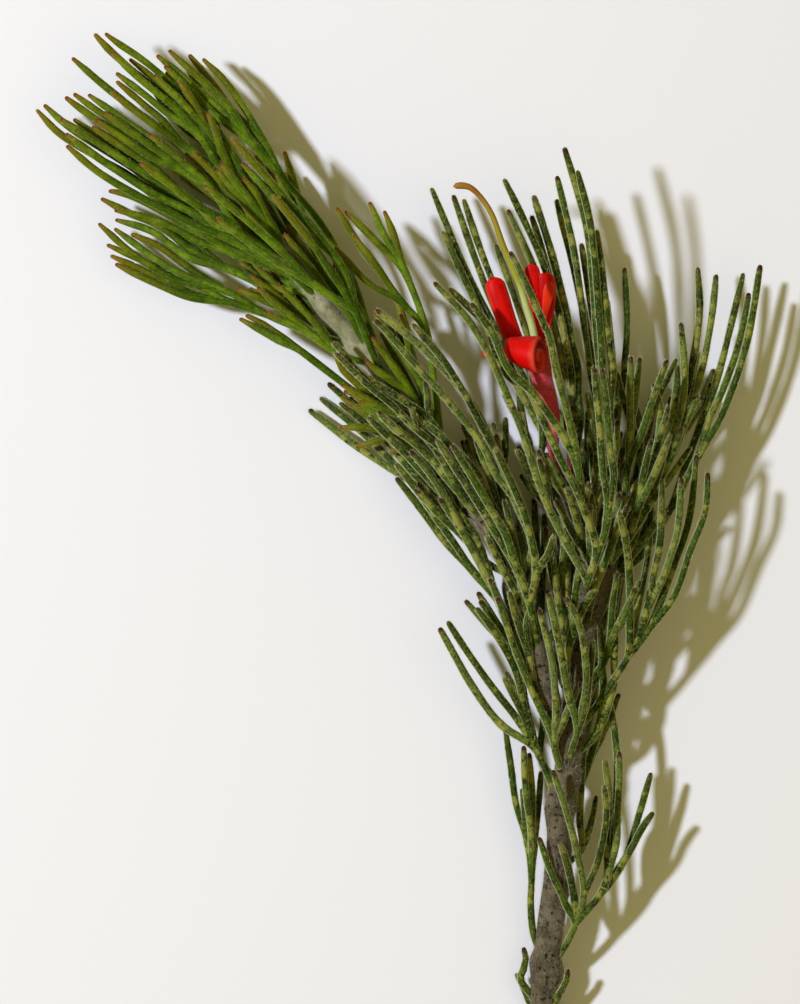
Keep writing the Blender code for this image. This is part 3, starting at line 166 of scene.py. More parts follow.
OLD_LEAVES = (
    # By the cut end
    Leaf("stem", (17.6, -59.5), (16.8, -55.8), (
        Arm(4.0, ((15.4, -47.8, 16.7, -54.5, 16.2, -50.9),)),
        Arm(3.0, ((14.5, -51.1, 16.3, -55.0, 15.3, -52.5),)))),
    Leaf("stem", (18.4, -58.2), (19.0, -55.3), (
        Arm(5.6, ((21.0, -50.5, 19.5, -54.2, 20.7, -52.2),)),
        Arm(4.0, ((20.3, -52.6, 19.5, -54.6),)))),
    # Lower leaves of the stem
    Leaf("stem", (17.9, -50.0), (16.4, -39.3), (
        Arm(7.0, ((13.1, -20.4, 15.9, -35.4, 14.6, -30.4, 13.8, -25.1),
                  (15.1, -28.0, 15.9, -34.0))),
        Arm(8.5, ((15.4, -22.6, 16.4, -34.6, 15.6, -27.0),
                  (16.1, -23.5, 16.5, -34.6, 16.4, -29.0))),
        Arm(5.0, ((17.6, -25.8, 16.7, -35.2, 17.3, -29.6),))),
         stalk=((16.7, -46.4), (16.3, -42.6))),
    Leaf("stem", (19.2, -51.0), (21.9, -44.9), (
        Arm(9.5, ((17.3, -34.0, 20.9, -42.9, 18.9, -38.6),)),
        Arm(8.5, ((19.9, -34.8, 21.7, -41.6, 20.9, -37.8),)),
        Arm(11.0, ((19.0, -25.6, 22.1, -36.1, 20.6, -30.4),
                   (25.4, -27.5, 24.6, -37.2, 25.7, -31.2)), (22.9, -41.2)),
        Arm(9.0, ((24.5, -13.0, 26.4, -35.0, 27.1, -26.0, 26.3, -18.2),
                  (25.5, -24.3, 26.0, -36.0, 26.1, -29.6),
                  (27.3, -23.3, 26.6, -34.1, 27.3, -27.5)), (25.4, -40.4)),
        Arm(7.0, ((31.3, -26.0, 28.0, -36.9, 29.9, -30.9),
                  (31.6, -30.9, 28.6, -35.8, 30.2, -32.8), (27.4, -31.6)), (25.8, -40.2))),
         stalk=((20.3, -48.2),)),
    Leaf("stem", (21.0, -40.1), (22.6, -35.8), (
        Arm(3.6, ((22.9, -24.1),)), Arm(3.0, ((24.5, -28.9),)))),
    # Left side of the stem
    Leaf("stem", (19.9, -31.4), (16.9, -23.0), (
        Arm(8.0, ((4.9, -7.9, 12.6, -20.0, 9.0, -15.2, 6.6, -11.0),)),
        Arm(9.2, ((5.9, -7.1, 14.9, -19.7, 11.4, -15.2, 8.3, -10.8),)),
        Arm(10.5, ((9.5, -5.4, 16.2, -19.7, 14.4, -13.3, 11.9, -8.6), (12.9, -14.1, 15.6, -20.3)))),
         stalk=((18.7, -27.0),)),
    Leaf("stem", (20.1, -29.5), (19.2, -22.4), (
        Arm(12.5, ((12.1, -4.1, 18.4, -20.0, 16.6, -16.2, 14.4, -10.8),)),
        Arm(14.0, ((17.3, -5.6, 19.4, -18.5, 18.9, -12.0),)),
        Arm(11.5, ((22.4, -14.8, 20.3, -19.6),)))),
    Leaf("stem", (20.6, -28.0), (22.1, -20.8), (
        Arm(15.0, ((18.4, -3.5, 21.0, -16.4, 19.6, -9.0),)),
        Arm(14.0, ((20.6, -4.1, 22.8, -17.6, 23.2, -13.0, 22.2, -7.2),)),
        Arm(12.0, ((24.0, -9.5, 23.0, -17.8),)))),
    # Right side of the stem
    Leaf("stem", (21.2, -26.8), (24.3, -21.3), (
        Arm(10.5, ((26.4, -3.5, 25.9, -17.6, 26.8, -10.0),)),
        Arm(8.5, ((24.8, -7.5, 25.3, -17.2, 25.2, -12.0),)))),
    Leaf("stem", (21.2, -22.0), (28.3, -11.7), (
        Arm(15.0, ((27.3, 6.6, 28.6, -7.0, 28.4, 0.4),)),
        Arm(9.5, ((31.4, 9.9, 29.4, -6.4, 30.8, 1.0),)),
        Arm(13.0, ((32.6, 10.5, 30.2, -6.6, 32.3, 2.4), (35.0, 10.8, 30.8, -6.2, 34.4, 3.6))),
        Arm(11.0, ((36.9, 13.6, 31.0, -7.6, 33.8, -1.0, 36.0, 5.6),
                   (38.3, 11.4, 30.8, -8.7, 34.0, -4.2, 36.2, 1.9, 38.0, 6.6)))),
         stalk=((24.4, -17.8), (26.6, -14.4))),
    # Leaves that start from the foot of the branch and point up it
    Leaf("branch", (18.3, -15.8), (16.2, -5.2), (
        Arm(17.5, ((11.8, 14.4, 15.8, 5.2, 13.7, 10.4), (19.1, 3.6, 18.4, 1.2)), (16.9, -1.0)),
        Arm(16.0, ((6.5, 14.8, 12.4, 4.8, 8.9, 10.9), (4.6, 15.5, 11.4, 4.8, 7.2, 11.4)),
            (15.0, -1.7))), 0.9),
    Leaf("branch", (17.5, -9.0), (14.6, 0.2), (
        Arm(15.0, ((-8.4, 27.6, 12.7, 4.7, 8.9, 11.6, 3.5, 17.3, -2.2, 22.4),
                   (-8.1, 26.3, 12.3, 4.6, 7.9, 11.4, 2.4, 17.0, -3.2, 21.8))),
        Arm(13.5, ((-1.5, 20.5, 12.9, 4.9, 8.0, 13.0),)))),
    Leaf("branch", (18.0, -16.0), (12.4, -4.9), (
        Arm(9.0, ((-0.5, 10.8, 9.6, -1.8, 5.3, 3.2, 1.9, 7.8),
                  (-0.6, 12.6, 9.8, -1.4, 5.9, 3.7, 2.0, 9.3))),
        Arm(12.5, ((1.6, 14.4, 10.9, -1.7, 8.1, 3.4, 4.6, 10.0),)),
        Arm(11.0, ((-4.0, 18.3, 11.0, -1.0, 9.4, 3.4, 4.2, 9.9, -0.6, 15.0),))),
         stalk=((16.2, -12.0), (14.2, -7.8))),
    Leaf("branch", (16.6, -7.0), (16.4, 2.4), (
        Arm(17.0, ((-3.0, 31.6, 15.2, 6.5, 12.2, 13.2, 8.6, 20.4, 3.0, 26.7),
                   (-3.0, 30.5, 14.6, 6.7, 10.8, 14.0, 7.0, 19.1, 1.9, 24.8))),
        Arm(18.0, ((1.5, 29.9, 14.8, 7.4, 11.0, 15.6, 5.9, 24.6),)))),
    Leaf("branch", (12.0, 2.5), (6.0, 7.6), (
        Arm(0.6, ((-11.4, 19.3, 1.5, 10.0, -4.7, 14.2), (-10.0, 20.8, 1.8, 10.4, -3.8, 15.6))),
        Arm(4.4, ((-9.0, 22.6, 2.2, 10.8, -3.0, 16.8), (-7.4, 20.3, 2.4, 10.6, -2.4, 16.0))))),
    # The big leaf in front of the flower's foot
    Leaf("floral", (23.6, -5.0), (23.3, -2.2), (
        Arm(22.0, ((4.2, 35.0, 20.9, 2.2, 18.1, 7.8, 14.5, 18.1, 9.1, 29.4),)),
        Arm(20.5, ((6.1, 34.3, 24.4, 1.6, 22.7, 7.3, 19.4, 14.2, 16.5, 21.1, 11.7, 28.6),)),
        Arm(18.5, ((24.1, 24.5, 25.6, 5.4, 25.0, 14.8),
                   (25.1, 24.3, 25.8, 5.4, 26.0, 14.5)))), 0.6),
    # Round the flower
    Leaf("floral", (22.9, 2.5), (22.3, 10.8), (
        Arm(22.0, ((13.6, 38.8, 21.4, 16.0, 19.8, 22.4, 17.9, 29.3, 15.2, 35.7),)),
        Arm(21.5, ((8.8, 32.4, 20.8, 15.0, 16.8, 20.8, 13.1, 26.6),)))),
    Leaf("floral", (22.6, 3.5), (22.0, 14.0), (
        Arm(15.0, ((12.9, 47.9, 22.0, 18.5, 20.7, 26.5, 18.5, 35.5, 15.0, 43.6),
                   (13.4, 44.1, 21.4, 18.5, 19.8, 27.6, 17.0, 36.0))),
        Arm(13.0, ((16.6, 45.9, 22.6, 18.5, 21.3, 26.6, 19.2, 37.0),
                   (16.4, 43.4, 22.2, 18.5, 20.6, 28.5, 18.4, 37.0))))),
    Leaf("floral", (21.8, 6.0), (19.0, 14.0), (
        Arm(8.0, ((3.9, 46.9, 17.0, 18.0, 13.2, 26.6, 8.4, 36.0),
                  (5.3, 41.5, 16.6, 18.4, 12.0, 27.5, 8.4, 35.0))),
        Arm(9.0, ((6.6, 46.0, 17.4, 18.8, 13.8, 27.0, 9.6, 37.4),
                  (7.9, 45.5, 17.8, 19.2, 14.6, 27.8, 10.6, 37.6))),
        Arm(7.0, ((11.9, 39.9, 18.4, 20.0, 15.4, 30.0),)))),
    # Crown
    Leaf("stem", (26.0, 2.4), (25.4, 14.0), (
        Arm(16.0, ((20.4, 51.8, 25.3, 18.0, 24.4, 28.8, 23.2, 41.8),)),
        Arm(17.5, ((22.0, 48.9, 25.8, 18.0, 25.0, 29.5, 23.9, 41.0),
                   (24.3, 41.5, 26.2, 18.0, 25.6, 30.0))),
        Arm(14.5, ((19.5, 48.3, 24.8, 17.6, 23.4, 26.0, 21.7, 38.6),)))),
    Leaf("stem", (26.4, 3.5), (26.4, 13.6), (
        Arm(8.0, ((19.5, 45.5, 25.4, 17.0, 23.6, 28.0, 21.4, 38.0),
                  (22.6, 40.0, 25.6, 17.2, 24.4, 28.0))),
        Arm(6.5, ((28.0, 37.0, 27.2, 17.0, 28.3, 28.5), (25.8, 33.0, 26.6, 17.0))))),
    Leaf("stem", (24.8, -2.5), (33.4, 6.2), (
        Arm(7.5, ((44.9, 37.3, 37.0, 12.9, 40.0, 18.6, 43.1, 27.6),
                  (43.6, 33.8, 36.7, 12.9, 39.2, 19.0, 41.9, 26.0))),
        Arm(6.5, ((42.8, 36.3, 35.8, 13.2, 39.2, 22.0, 41.4, 30.4),
                  (38.8, 22.6, 35.9, 13.2, 37.4, 17.4)))),
         stalk=((29.2, 0.2),)),
    Leaf("stem", (27.4, 5.0), (31.9, 10.0), (
        Arm(10.0, ((35.0, 30.1, 33.6, 13.8, 35.3, 22.4), (34.6, 24.9, 33.2, 13.8, 34.5, 20.5))),
        Arm(8.0, ((37.1, 37.0, 34.2, 14.8, 36.0, 22.6, 37.3, 31.0),
                  (39.4, 36.1, 34.6, 14.6, 37.0, 22.0, 38.7, 30.0))),
        Arm(11.5, ((35.1, 17.0, 33.6, 13.2),)))),
    Leaf("stem", (27.6, 6.4), (30.2, 11.0), (
        Arm(13.5, ((31.4, 22.4, 31.4, 13.4, 32.4, 18.4), (33.2, 19.8, 31.8, 13.6))),
        Arm(12.0, ((28.1, 22.0, 30.1, 13.6, 29.9, 17.6), (27.0, 24.0, 29.6, 13.8, 28.6, 18.0))))),
    Leaf("stem", (25.8, 1.8), (25.4, 9.5), (
        Arm(15.5, ((23.3, 21.5, 24.6, 13.0), (23.9, 18.1, 24.9, 13.0))),
        Arm(14.0, ((27.0, 18.0),)))),
    # Low leaves, with tips on the surface
    Leaf("stem", (26.8, 4.0), (31.0, 9.0), (
        Arm(0.4, ((37.2, 26.5, 33.4, 14.0, 35.8, 20.0),
                  (39.2, 24.4, 33.8, 13.6, 37.0, 18.8))),), 0.0),
)

YOUNG_LEAVES = (
    # Foot of the shoot
    Leaf("shoot", (7.6, 10.4), (3.2, 15.2), (
        Arm(6.0, ((-7.5, 17.1, 0.4, 16.4, -3.4, 17.0), (-5.5, 14.6, 0.2, 15.8))),
        Arm(7.5, ((-6.3, 19.8, 1.6, 16.9, -2.2, 18.6),)),
        Arm(5.0, ((-0.9, 13.9, 1.4, 14.8),)))),
    Leaf("shoot", (4.6, 14.4), (1.0, 18.2), (
        Arm(8.0, ((-5.3, 22.0, -1.2, 19.5), (-7.0, 21.6, -1.5, 19.3))),
        Arm(9.0, ((-4.0, 25.6, -0.8, 21.0),)))),
    Leaf("shoot", (4.4, 14.7), (1.6, 21.0), (
        Arm(13.0, ((-4.6, 25.1, -0.6, 22.6),)), Arm(13.5, ((-3.5, 28.3, -0.2, 23.8),)))),
    # The leaf that stands off to the right
    Leaf("shoot", (5.4, 13.4), (3.3, 29.0), (
        Arm(12.5, ((-7.9, 44.4, -2.4, 36.2, -5.6, 40.6), (-5.8, 41.0, -2.6, 36.6),
                   (-8.1, 39.5, -3.8, 34.9)), (0.2, 32.6)),
        Arm(11.5, ((-3.8, 45.1, -1.9, 41.0), (-2.0, 44.0, -0.6, 40.2),
                   (-6.8, 44.0, -2.8, 40.0)), (0.6, 36.4))), 0.5, ((4.4, 21.2),)),
    # The leaf whose long stalk runs up the front of the shoot
    Leaf("shoot", (0.8, 19.0), (-5.4, 31.2), (
        Arm(17.5, ((-19.6, 51.3), (-21.0, 53.0), (-19.4, 50.1)), (-7.5, 37.3)),
        Arm(18.5, ((-15.8, 45.9),)),
        Arm(16.5, ((-24.3, 47.1), (-22.8, 43.0)), (-10.2, 34.4))),
         1.2, ((-2.4, 24.2), (-4.1, 28.0))),
    # Lower side
    Leaf("shoot", (3.4, 16.0), (-12.4, 26.6), (
        Arm(8.0, ((-20.0, 30.6, -14.8, 27.8),)), Arm(8.6, ((-19.1, 31.3, -14.6, 28.2),))),
         stalk=((0.4, 17.7), (-4.7, 20.8), (-9.0, 24.0))),
    Leaf("shoot", (-1.6, 22.8), (-7.6, 26.2), (
        Arm(11.0, ((-17.8, 34.5, -10.6, 28.6), (-16.8, 31.4, -10.8, 28.2))),
        Arm(12.0, ((-15.3, 34.8),)))),
    Leaf("shoot", (-4.6, 26.8), (-16.2, 30.9), (
        Arm(5.0, ((-36.6, 39.8, -20.6, 32.8, -26.2, 34.9, -31.6, 37.5),
                  (-36.1, 38.6, -20.4, 32.4, -26.0, 33.9, -31.1, 36.2),
                  (-35.5, 37.5, -20.1, 32.0, -25.7, 33.3, -30.8, 35.2))),
        Arm(7.0, ((-37.6, 42.5, -22.0, 33.8, -28.3, 35.7, -33.4, 38.8),
                  (-35.6, 41.9, -22.2, 34.2, -28.0, 36.4, -32.0, 39.2),
                  (-33.6, 41.1, -21.4, 34.4, -26.5, 37.0, -30.4, 39.8)))), stalk=((-10.6, 28.6),)),
    Leaf("shoot", (-8.0, 30.6), (-16.8, 34.7), (
        Arm(7.5, ((-37.3, 45.6, -20.8, 36.7, -25.7, 39.0, -30.0, 42.1, -34.0, 43.9),)),
        Arm(6.5, ((-35.5, 42.9, -20.2, 36.1, -26.2, 38.5, -31.1, 41.6),
                  (-33.4, 43.9, -20.6, 36.5, -27.0, 40.4))))),
    Leaf("shoot", (-9.4, 32.4), (-15.8, 36.9), (
        Arm(9.0, ((-36.3, 46.5, -19.3, 38.5, -24.4, 40.8, -29.6, 43.9, -34.0, 46.1),)),
        Arm(8.0, ((-35.6, 44.1, -19.4, 38.2, -25.0, 40.4, -30.4, 42.9),)))),
    # Upper side and the far tips
    Leaf("shoot", (-5.2, 27.6), (-14.2, 47.6), (
        Arm(8.0, ((-24.6, 63.0, -16.6, 52.5, -19.4, 56.8, -22.0, 60.4),
                  (-26.3, 63.5, -17.0, 52.2, -21.0, 56.6, -23.6, 60.2))),
        Arm(9.5, ((-28.8, 64.0, -17.6, 52.0, -22.6, 58.2), (-30.3, 63.4, -17.8, 51.8, -23.6, 57.6),
                  (-29.3, 62.1, -18.0, 51.6, -23.6, 56.6)))), stalk=((-6.4, 35.8), (-9.6, 42.0))),
    Leaf("shoot", (-13.0, 37.4), (-19.0, 48.0), (
        Arm(11.0, ((-37.0, 65.8, -22.9, 54.2, -28.0, 59.3, -33.1, 63.4),
                   (-37.9, 66.1, -22.4, 53.4, -28.5, 57.9, -34.7, 62.7))),
        Arm(12.5, ((-33.6, 63.0, -23.4, 53.0, -29.4, 59.4), (-30.6, 60.9, -23.2, 53.2),
                   (-27.6, 60.3, -22.8, 53.4))))),
    Leaf("shoot", (-14.6, 39.4), (-22.0, 48.4), (
        Arm(14.0, ((-35.9, 63.8, -24.4, 53.0, -27.4, 56.2, -32.6, 60.6),
                   (-35.3, 61.1, -24.6, 52.6, -29.4, 56.6))),
        Arm(12.0, ((-40.8, 63.0, -26.2, 51.6, -30.4, 54.6, -36.5, 59.3), (-35.3, 60.1),
                   (-36.0, 58.8))))),
    Leaf("shoot", (-12.6, 36.8), (-22.0, 45.4), (
        Arm(9.0, ((-41.6, 58.3), (-40.8, 58.4))),
        Arm(10.5, ((-38.9, 58.4), (-37.9, 55.4), (-36.9, 56.3))))),
    Leaf("shoot", (-11.4, 35.3), (-21.4, 42.2), (
        Arm(7.0, ((-45.1, 56.8, -26.0, 44.6, -32.2, 47.8, -38.6, 51.2, -42.8, 54.0),
                  (-44.6, 57.1, -26.0, 45.0, -33.0, 49.4, -39.6, 53.4))),
        Arm(8.5, ((-42.3, 55.5), (-40.8, 55.4), (-38.3, 54.6))))),
    Leaf("shoot", (-10.2, 33.8), (-16.2, 37.6), (
        Arm(11.0, ((-41.5, 52.1, -20.0, 39.6, -24.9, 42.1, -30.8, 44.9, -37.4, 48.7),
                   (-41.6, 53.6, -20.4, 40.4, -25.0, 43.2, -30.8, 46.2, -37.0, 50.2))),
        Arm(14.0, ((-31.3, 53.5), (-32.3, 49.9))))),
    Leaf("shoot", (-8.4, 31.4), (-14.0, 38.0), (
        Arm(14.5, ((-22.3, 49.9), (-22.8, 49.1))),
        Arm(13.5, ((-20.0, 47.8),)), Arm(12.5, ((-25.0, 44.5, -17.6, 39.8),)))),
    # A low leaf, with its tips on the surface
    Leaf("shoot", (-8.0, 30.6), (-17.0, 36.0), (
        Arm(0.4, ((-34.5, 49.0, -22.0, 39.8), (-32.4, 47.2, -22.2, 39.4))),), 0.0),
)

class Sides(Enum):
    """The two turns round an axis that a row of leaves stays between. A turn of 0.5 is straight
    below the axis, and -0.5 straight above."""

    BELOW = (0.34, 0.66)
    ABOVE = (-0.85, -0.15)
    AROUND = (-0.1, 1.1)


@dataclass(frozen=True)
class LeafRow:
    """Leaves placed by rule. They leave an axis between two shares of it, in a spiral on its sides
    that are named. Spread is the angle that they lean away from the axis, and slants say how far
    aside each arm points."""

    axis: str
    first: float
    last: float
    count: int
    length: float
    turn: float
    sides: Sides = Sides.BELOW
    spread: float = 0.34
    slants: tuple = (-1.0, 0.15, 1.1)


LEAF_ROWS = (
    LeafRow("stem", 0.40, 0.90, 7, 22.0, 0.0),
    LeafRow("branch", 0.30, 0.95, 3, 22.0, 1.2),
    LeafRow("shoot", 0.05, 0.80, 5, 22.0, 0.6),
    LeafRow("branch", 0.15, 0.90, 4, 19.0, 0.4, Sides.ABOVE, 0.12, (-0.7, 0.6)),
    LeafRow("floral", 0.02, 0.40, 3, 14.0, 5.0, Sides.ABOVE, 0.10, (-1.5, 1.4)),
    LeafRow("stem", 0.64, 0.97, 4, 19.0, 1.0, Sides.ABOVE, 0.22, (-0.9, 0.9)),
    LeafRow("shoot", 0.28, 0.78, 4, 19.0, 3.0, Sides.ABOVE, 0.16, (-0.8, 0.7)),
)

# The leaf of the rows that would hide the woolly shoot where it lies open
OPEN_STEM_LEAF = 70

# Leaves too deep, or too slight, for the frame's solids
DEEP_LEAVES = (
    Leaf("shoot", (-13.6, 38.0), (-20.4, 48.4), (
        Arm(6.0, ((-31.4, 60.0), (-29.2, 61.4))), Arm(5.0, ((-26.6, 61.8), (-27.6, 57.4))))),
    Leaf("shoot", (-9.0, 32.4), (-17.6, 43.0), (
        Arm(5.0, ((-34.4, 54.6), (-33.0, 56.8))), Arm(6.0, ((-30.0, 55.2), (-31.6, 53.0))))),
    Leaf("shoot", (6.8, 11.8), (1.9, 17.6), (
        Arm(13.5, ((-7.4, 22.4, -2.6, 20.2), (-5.2, 20.2, -1.8, 18.8))),
        Arm(13.8, ((-4.0, 23.4, -1.2, 20.8),)))),
    Leaf("shoot", (3.2, 16.2), (-1.6, 19.4), (
        Arm(10.9, ((-8.2, 26.4, -5.0, 22.2, -7.2, 24.4),)),)),
    Leaf("floral", (22.8, 2.8), (17.4, 10.4), (
        Arm(8.5, ((12.9, 21.4, 15.2, 15.6), (14.6, 22.6, 16.2, 16.4))),
        Arm(9.5, ((16.2, 24.0, 17.2, 16.6), (17.8, 21.6, 18.4, 15.8))))),
    Leaf("branch", (13.4, 0.4), (12.2, 5.4), (
        Arm(7.5, ((6.4, 14.4, 9.6, 9.6), (8.2, 15.6, 10.6, 10.2))),
        Arm(8.0, ((10.8, 16.2, 11.8, 10.6), (12.8, 14.8, 13.0, 9.8))))),
    Leaf("stem", (20.2, -30.0), (17.6, -24.6), (
        Arm(5.5, ((13.2, -13.4, 15.4, -19.4), (15.0, -12.6, 16.4, -18.6))),
        Arm(6.5, ((17.0, -12.0, 17.4, -18.2), (18.6, -13.6, 18.4, -18.8))))),
)

# Leaves deep in the sprig, which fill it and hardly show
UNDERGROWTH = (
    LeafRow("stem", 0.66, 0.88, 6, 15.5, 0.3, Sides.AROUND, 0.30, (-1.1, 0.1, 1.2)),
    LeafRow("branch", 0.10, 0.95, 7, 16.0, 2.0, Sides.AROUND, 0.40, (-1.0, 0.2, 1.1)),
    LeafRow("floral", 0.00, 0.60, 4, 15.0, 0.9, Sides.AROUND, 0.38, (-1.0, 0.2, 1.1)),
    LeafRow("shoot", 0.05, 0.80, 6, 17.0, 4.0, Sides.AROUND, 0.34, (-0.9, 0.1, 1.0)),
)

# Flower: its tube opens in tepals, each a strap that passes these places
TUBE_ROUTE = ((19.56, 11.06, 12.4), (19.1, 13.6, 12.9), (19.0, 18.0, 13.8), (18.4, 20.5, 14.4),
              (17.6, 23.3, 15.1), (17.3, 25.6, 15.7), (17.0, 27.6, 16.2))
TUBE_RADII = (0.5, 0.6, 0.85, 1.1, 1.25, 1.4, 1.45)
STYLE_ROUTE = ((17.2, 25.9, 15.8), (16.8, 27.8, 16.3), (16.3, 30.0, 16.8), (15.75, 31.75, 17.2),
               (15.0, 34.3, 17.8), (14.0, 36.8, 18.4), (12.9, 39.3, 18.9), (11.3, 43.6, 19.4),
               (9.8, 45.8, 19.6), (8.6, 46.8, 19.7), (7.6, 47.0, 19.7), (6.6, 46.9, 19.7))
STYLE_RADII = (0.5, 0.5, 0.48, 0.45, 0.42, 0.4, 0.38, 0.34, 0.33, 0.38, 0.44, 0.34)
BUD_ROUTE = ((21.1, 11.2, 13.4), (21.2, 13.0, 13.9), (20.9, 16.2, 14.4), (20.4, 19.5, 14.8))
BUD_RADII = (0.35, 0.5, 0.5, 0.3)
SCROLL_CENTRE = (15.4, 26.05, 19.1)
SCROLL_RADII = (2.35, 0.95)
SCROLL_ANGLES = (-75.0, 350.0)
SCROLL_SPREAD_ANGLE = 80.0
SCROLL_ROOT_X = 16.0
SCROLL_WIDTHS = (2.0, 4.3)
SCROLL_WIDENING = 0.12
SCROLL_LEAN = (-0.26, 0.35)
SCROLL_TILT = 0.4


@dataclass(frozen=True)
class Tepal:
    """One lobe of the flower, a strap: the places it passes, its width at each, and the angle that
    its cross-section bends through, with its margins turned down. Its upper side is the petal's
    inner face where shows_inner is 1."""

    route: tuple
    widths: tuple
    curl: float
    shows_inner: float = 0.0


TEPALS = (
    Tepal(((15.9, 26.2, 15.9), (14.5, 27.6, 16.4), (13.7, 29.0, 16.8), (13.0, 30.9, 17.1),
           (12.4, 32.8, 17.3), (11.8, 34.6, 17.3), (11.5, 35.6, 17.1)),
          (1.8, 2.4, 2.8, 2.9, 3.0, 3.0, 2.5), 1.8),
    Tepal(((17.6, 26.6, 15.0), (17.3, 30.0, 15.2), (16.8, 33.0, 15.7), (16.5, 35.4, 16.2),
           (16.3, 37.3, 16.3)),
          (1.3, 1.6, 2.2, 2.3, 1.9), 1.4),
    Tepal(((18.0, 27.0, 15.0), (18.1, 30.0, 15.1), (18.2, 32.4, 15.5), (18.1, 34.4, 16.0),
           (17.9, 36.2, 16.2)),
          (1.3, 1.6, 2.5, 2.9, 2.5), 1.4),
    Tepal(((16.2, 26.4, 15.2), (14.4, 26.7, 15.2), (12.1, 25.9, 15.1), (10.2, 26.3, 15.0)),
          (1.4, 1.6, 1.6, 0.9), 1.0),
)

# Petal parts too thin for the frame's solids
SMALL_TEPALS = (
    Tepal(((17.9, 30.2, 15.6), (18.2, 32.2, 16.2), (18.5, 34.0, 16.8), (18.6, 35.2, 16.9)),
          (0.5, 1.1, 1.5, 1.1), 0.8, 1.0),
    Tepal(((13.3, 27.6, 15.9), (12.8, 29.2, 16.4), (12.3, 31.0, 16.7)), (0.6, 0.9, 0.4), 0.6, 1.0),
)


def lengths_along(path: np.ndarray) -> np.ndarray:
    """The distance from the start to each point of a path."""
    return np.concatenate([[0.0], np.cumsum(np.linalg.norm(np.diff(path, axis=0), axis=1))])


def unit(vector: np.ndarray) -> np.ndarray:
    """The same direction with a length of 1."""
    return vector / np.linalg.norm(vector)


def eased(share: np.ndarray) -> np.ndarray:
    """A share of 0 to 1, slowed down at both its ends."""
    return share * share * (3.0 - 2.0 * share)


def rounded_end(at: np.ndarray, length: float) -> np.ndarray:
    """The share of its full width that each point of a path keeps, so that its end is round.

    Args:
        at: how far along the path each point lies.
        length: how far from the end the rounding starts.

    Returns:
        The shares.
    """
    near = np.clip((at[-1] - at) / length, 0.0, 1.0)
    return np.sqrt(1.0 - (1.0 - near) ** 2)


def ways_along(path: np.ndarray) -> np.ndarray:
    """The way ahead at each point of a path."""
    ahead = np.gradient(path, axis=0)
    return ahead / np.linalg.norm(ahead, axis=1)[:, None]


def nearest(path: np.ndarray, place: np.ndarray) -> int:
    """The number of the point of a path that lies nearest to a place."""
    return int(np.argmin(np.linalg.norm(path - place, axis=1)))


def points_at(path: np.ndarray, places: np.ndarray) -> np.ndarray:
    """The points of a path at these distances from its start."""
    at = lengths_along(path)
    return np.stack([np.interp(places, at, path[:, k]) for k in range(3)], axis=1)


def evenly(path: np.ndarray, spacing: float) -> np.ndarray:
    """A path's ends with evenly spaced points between them.

    Args:
        path: points, one a row.
        spacing: the distance wanted between neighbours.

    Returns:
        The new points.
    """
    length = lengths_along(path)[-1]
    count = max(3, int(round(length / spacing)) + 1)
    return points_at(path, np.linspace(0.0, length, count))


def smooth_route(points: tuple | list | np.ndarray, spacing: float) -> np.ndarray:
    """Evenly spaced points on a smooth curve through the given ones.

    Args:
        points: the places that the curve passes.
        spacing: the distance wanted between neighbours.

    Returns:
        The points on the curve.
    """
    points = np.asarray(points, float)
    steps = np.linalg.norm(np.diff(points, axis=0), axis=1)
    at = np.concatenate([[0.0], np.cumsum(np.sqrt(np.maximum(steps, 1e-9)))])
    slopes = np.gradient(points, at, axis=0)
    fine = []
    for k in range(len(points) - 1):
        width = at[k + 1] - at[k]
        t = np.linspace(0.0, 1.0, CURVE_STEPS, endpoint=k == len(points) - 2)[:, None]
        fine.append(
            (2 * t**3 - 3 * t**2 + 1) * points[k]
            + (t**3 - 2 * t**2 + t) * width * slopes[k]
            + (3 * t**2 - 2 * t**3) * points[k + 1]
            + (t**3 - t**2) * width * slopes[k + 1]
        )
    return evenly(np.vstack(fine), spacing)


def along_route(route: tuple, values: tuple, spacing: float) -> tuple[np.ndarray, np.ndarray]:
    """A smooth path through a route, with a value such as a radius or width at each point.

    Args:
        route: the places passed.
        values: the value at each of them.
        spacing: the distance wanted between neighbours.

    Returns:
        The path and the values along it.
    """
    path = smooth_route(route, spacing)
    marks = lengths_along(np.asarray(route))
    share = lengths_along(path) / lengths_along(path)[-1]
    return path, np.interp(share, marks / marks[-1], values)


def frames_along(path: np.ndarray) -> list[tuple[np.ndarray, np.ndarray, np.ndarray]]:
    """The directions at each point of a path, turned as little as possible from one to the next.

    Args:
        path: the points, one a row.

    Returns:
        For each point, the way ahead and two directions across it.
    """
    ahead = ways_along(path)
    across = np.cross(ahead[0], UP)
    if np.linalg.norm(across) < NEARLY_UPRIGHT:
        across = np.cross(ahead[0], (1.0, 0.0, 0.0))
    frames = []
    for direction in ahead:
        across = unit(across - np.dot(across, direction) * direction)
        frames.append((direction, across, np.cross(direction, across)))
    return frames


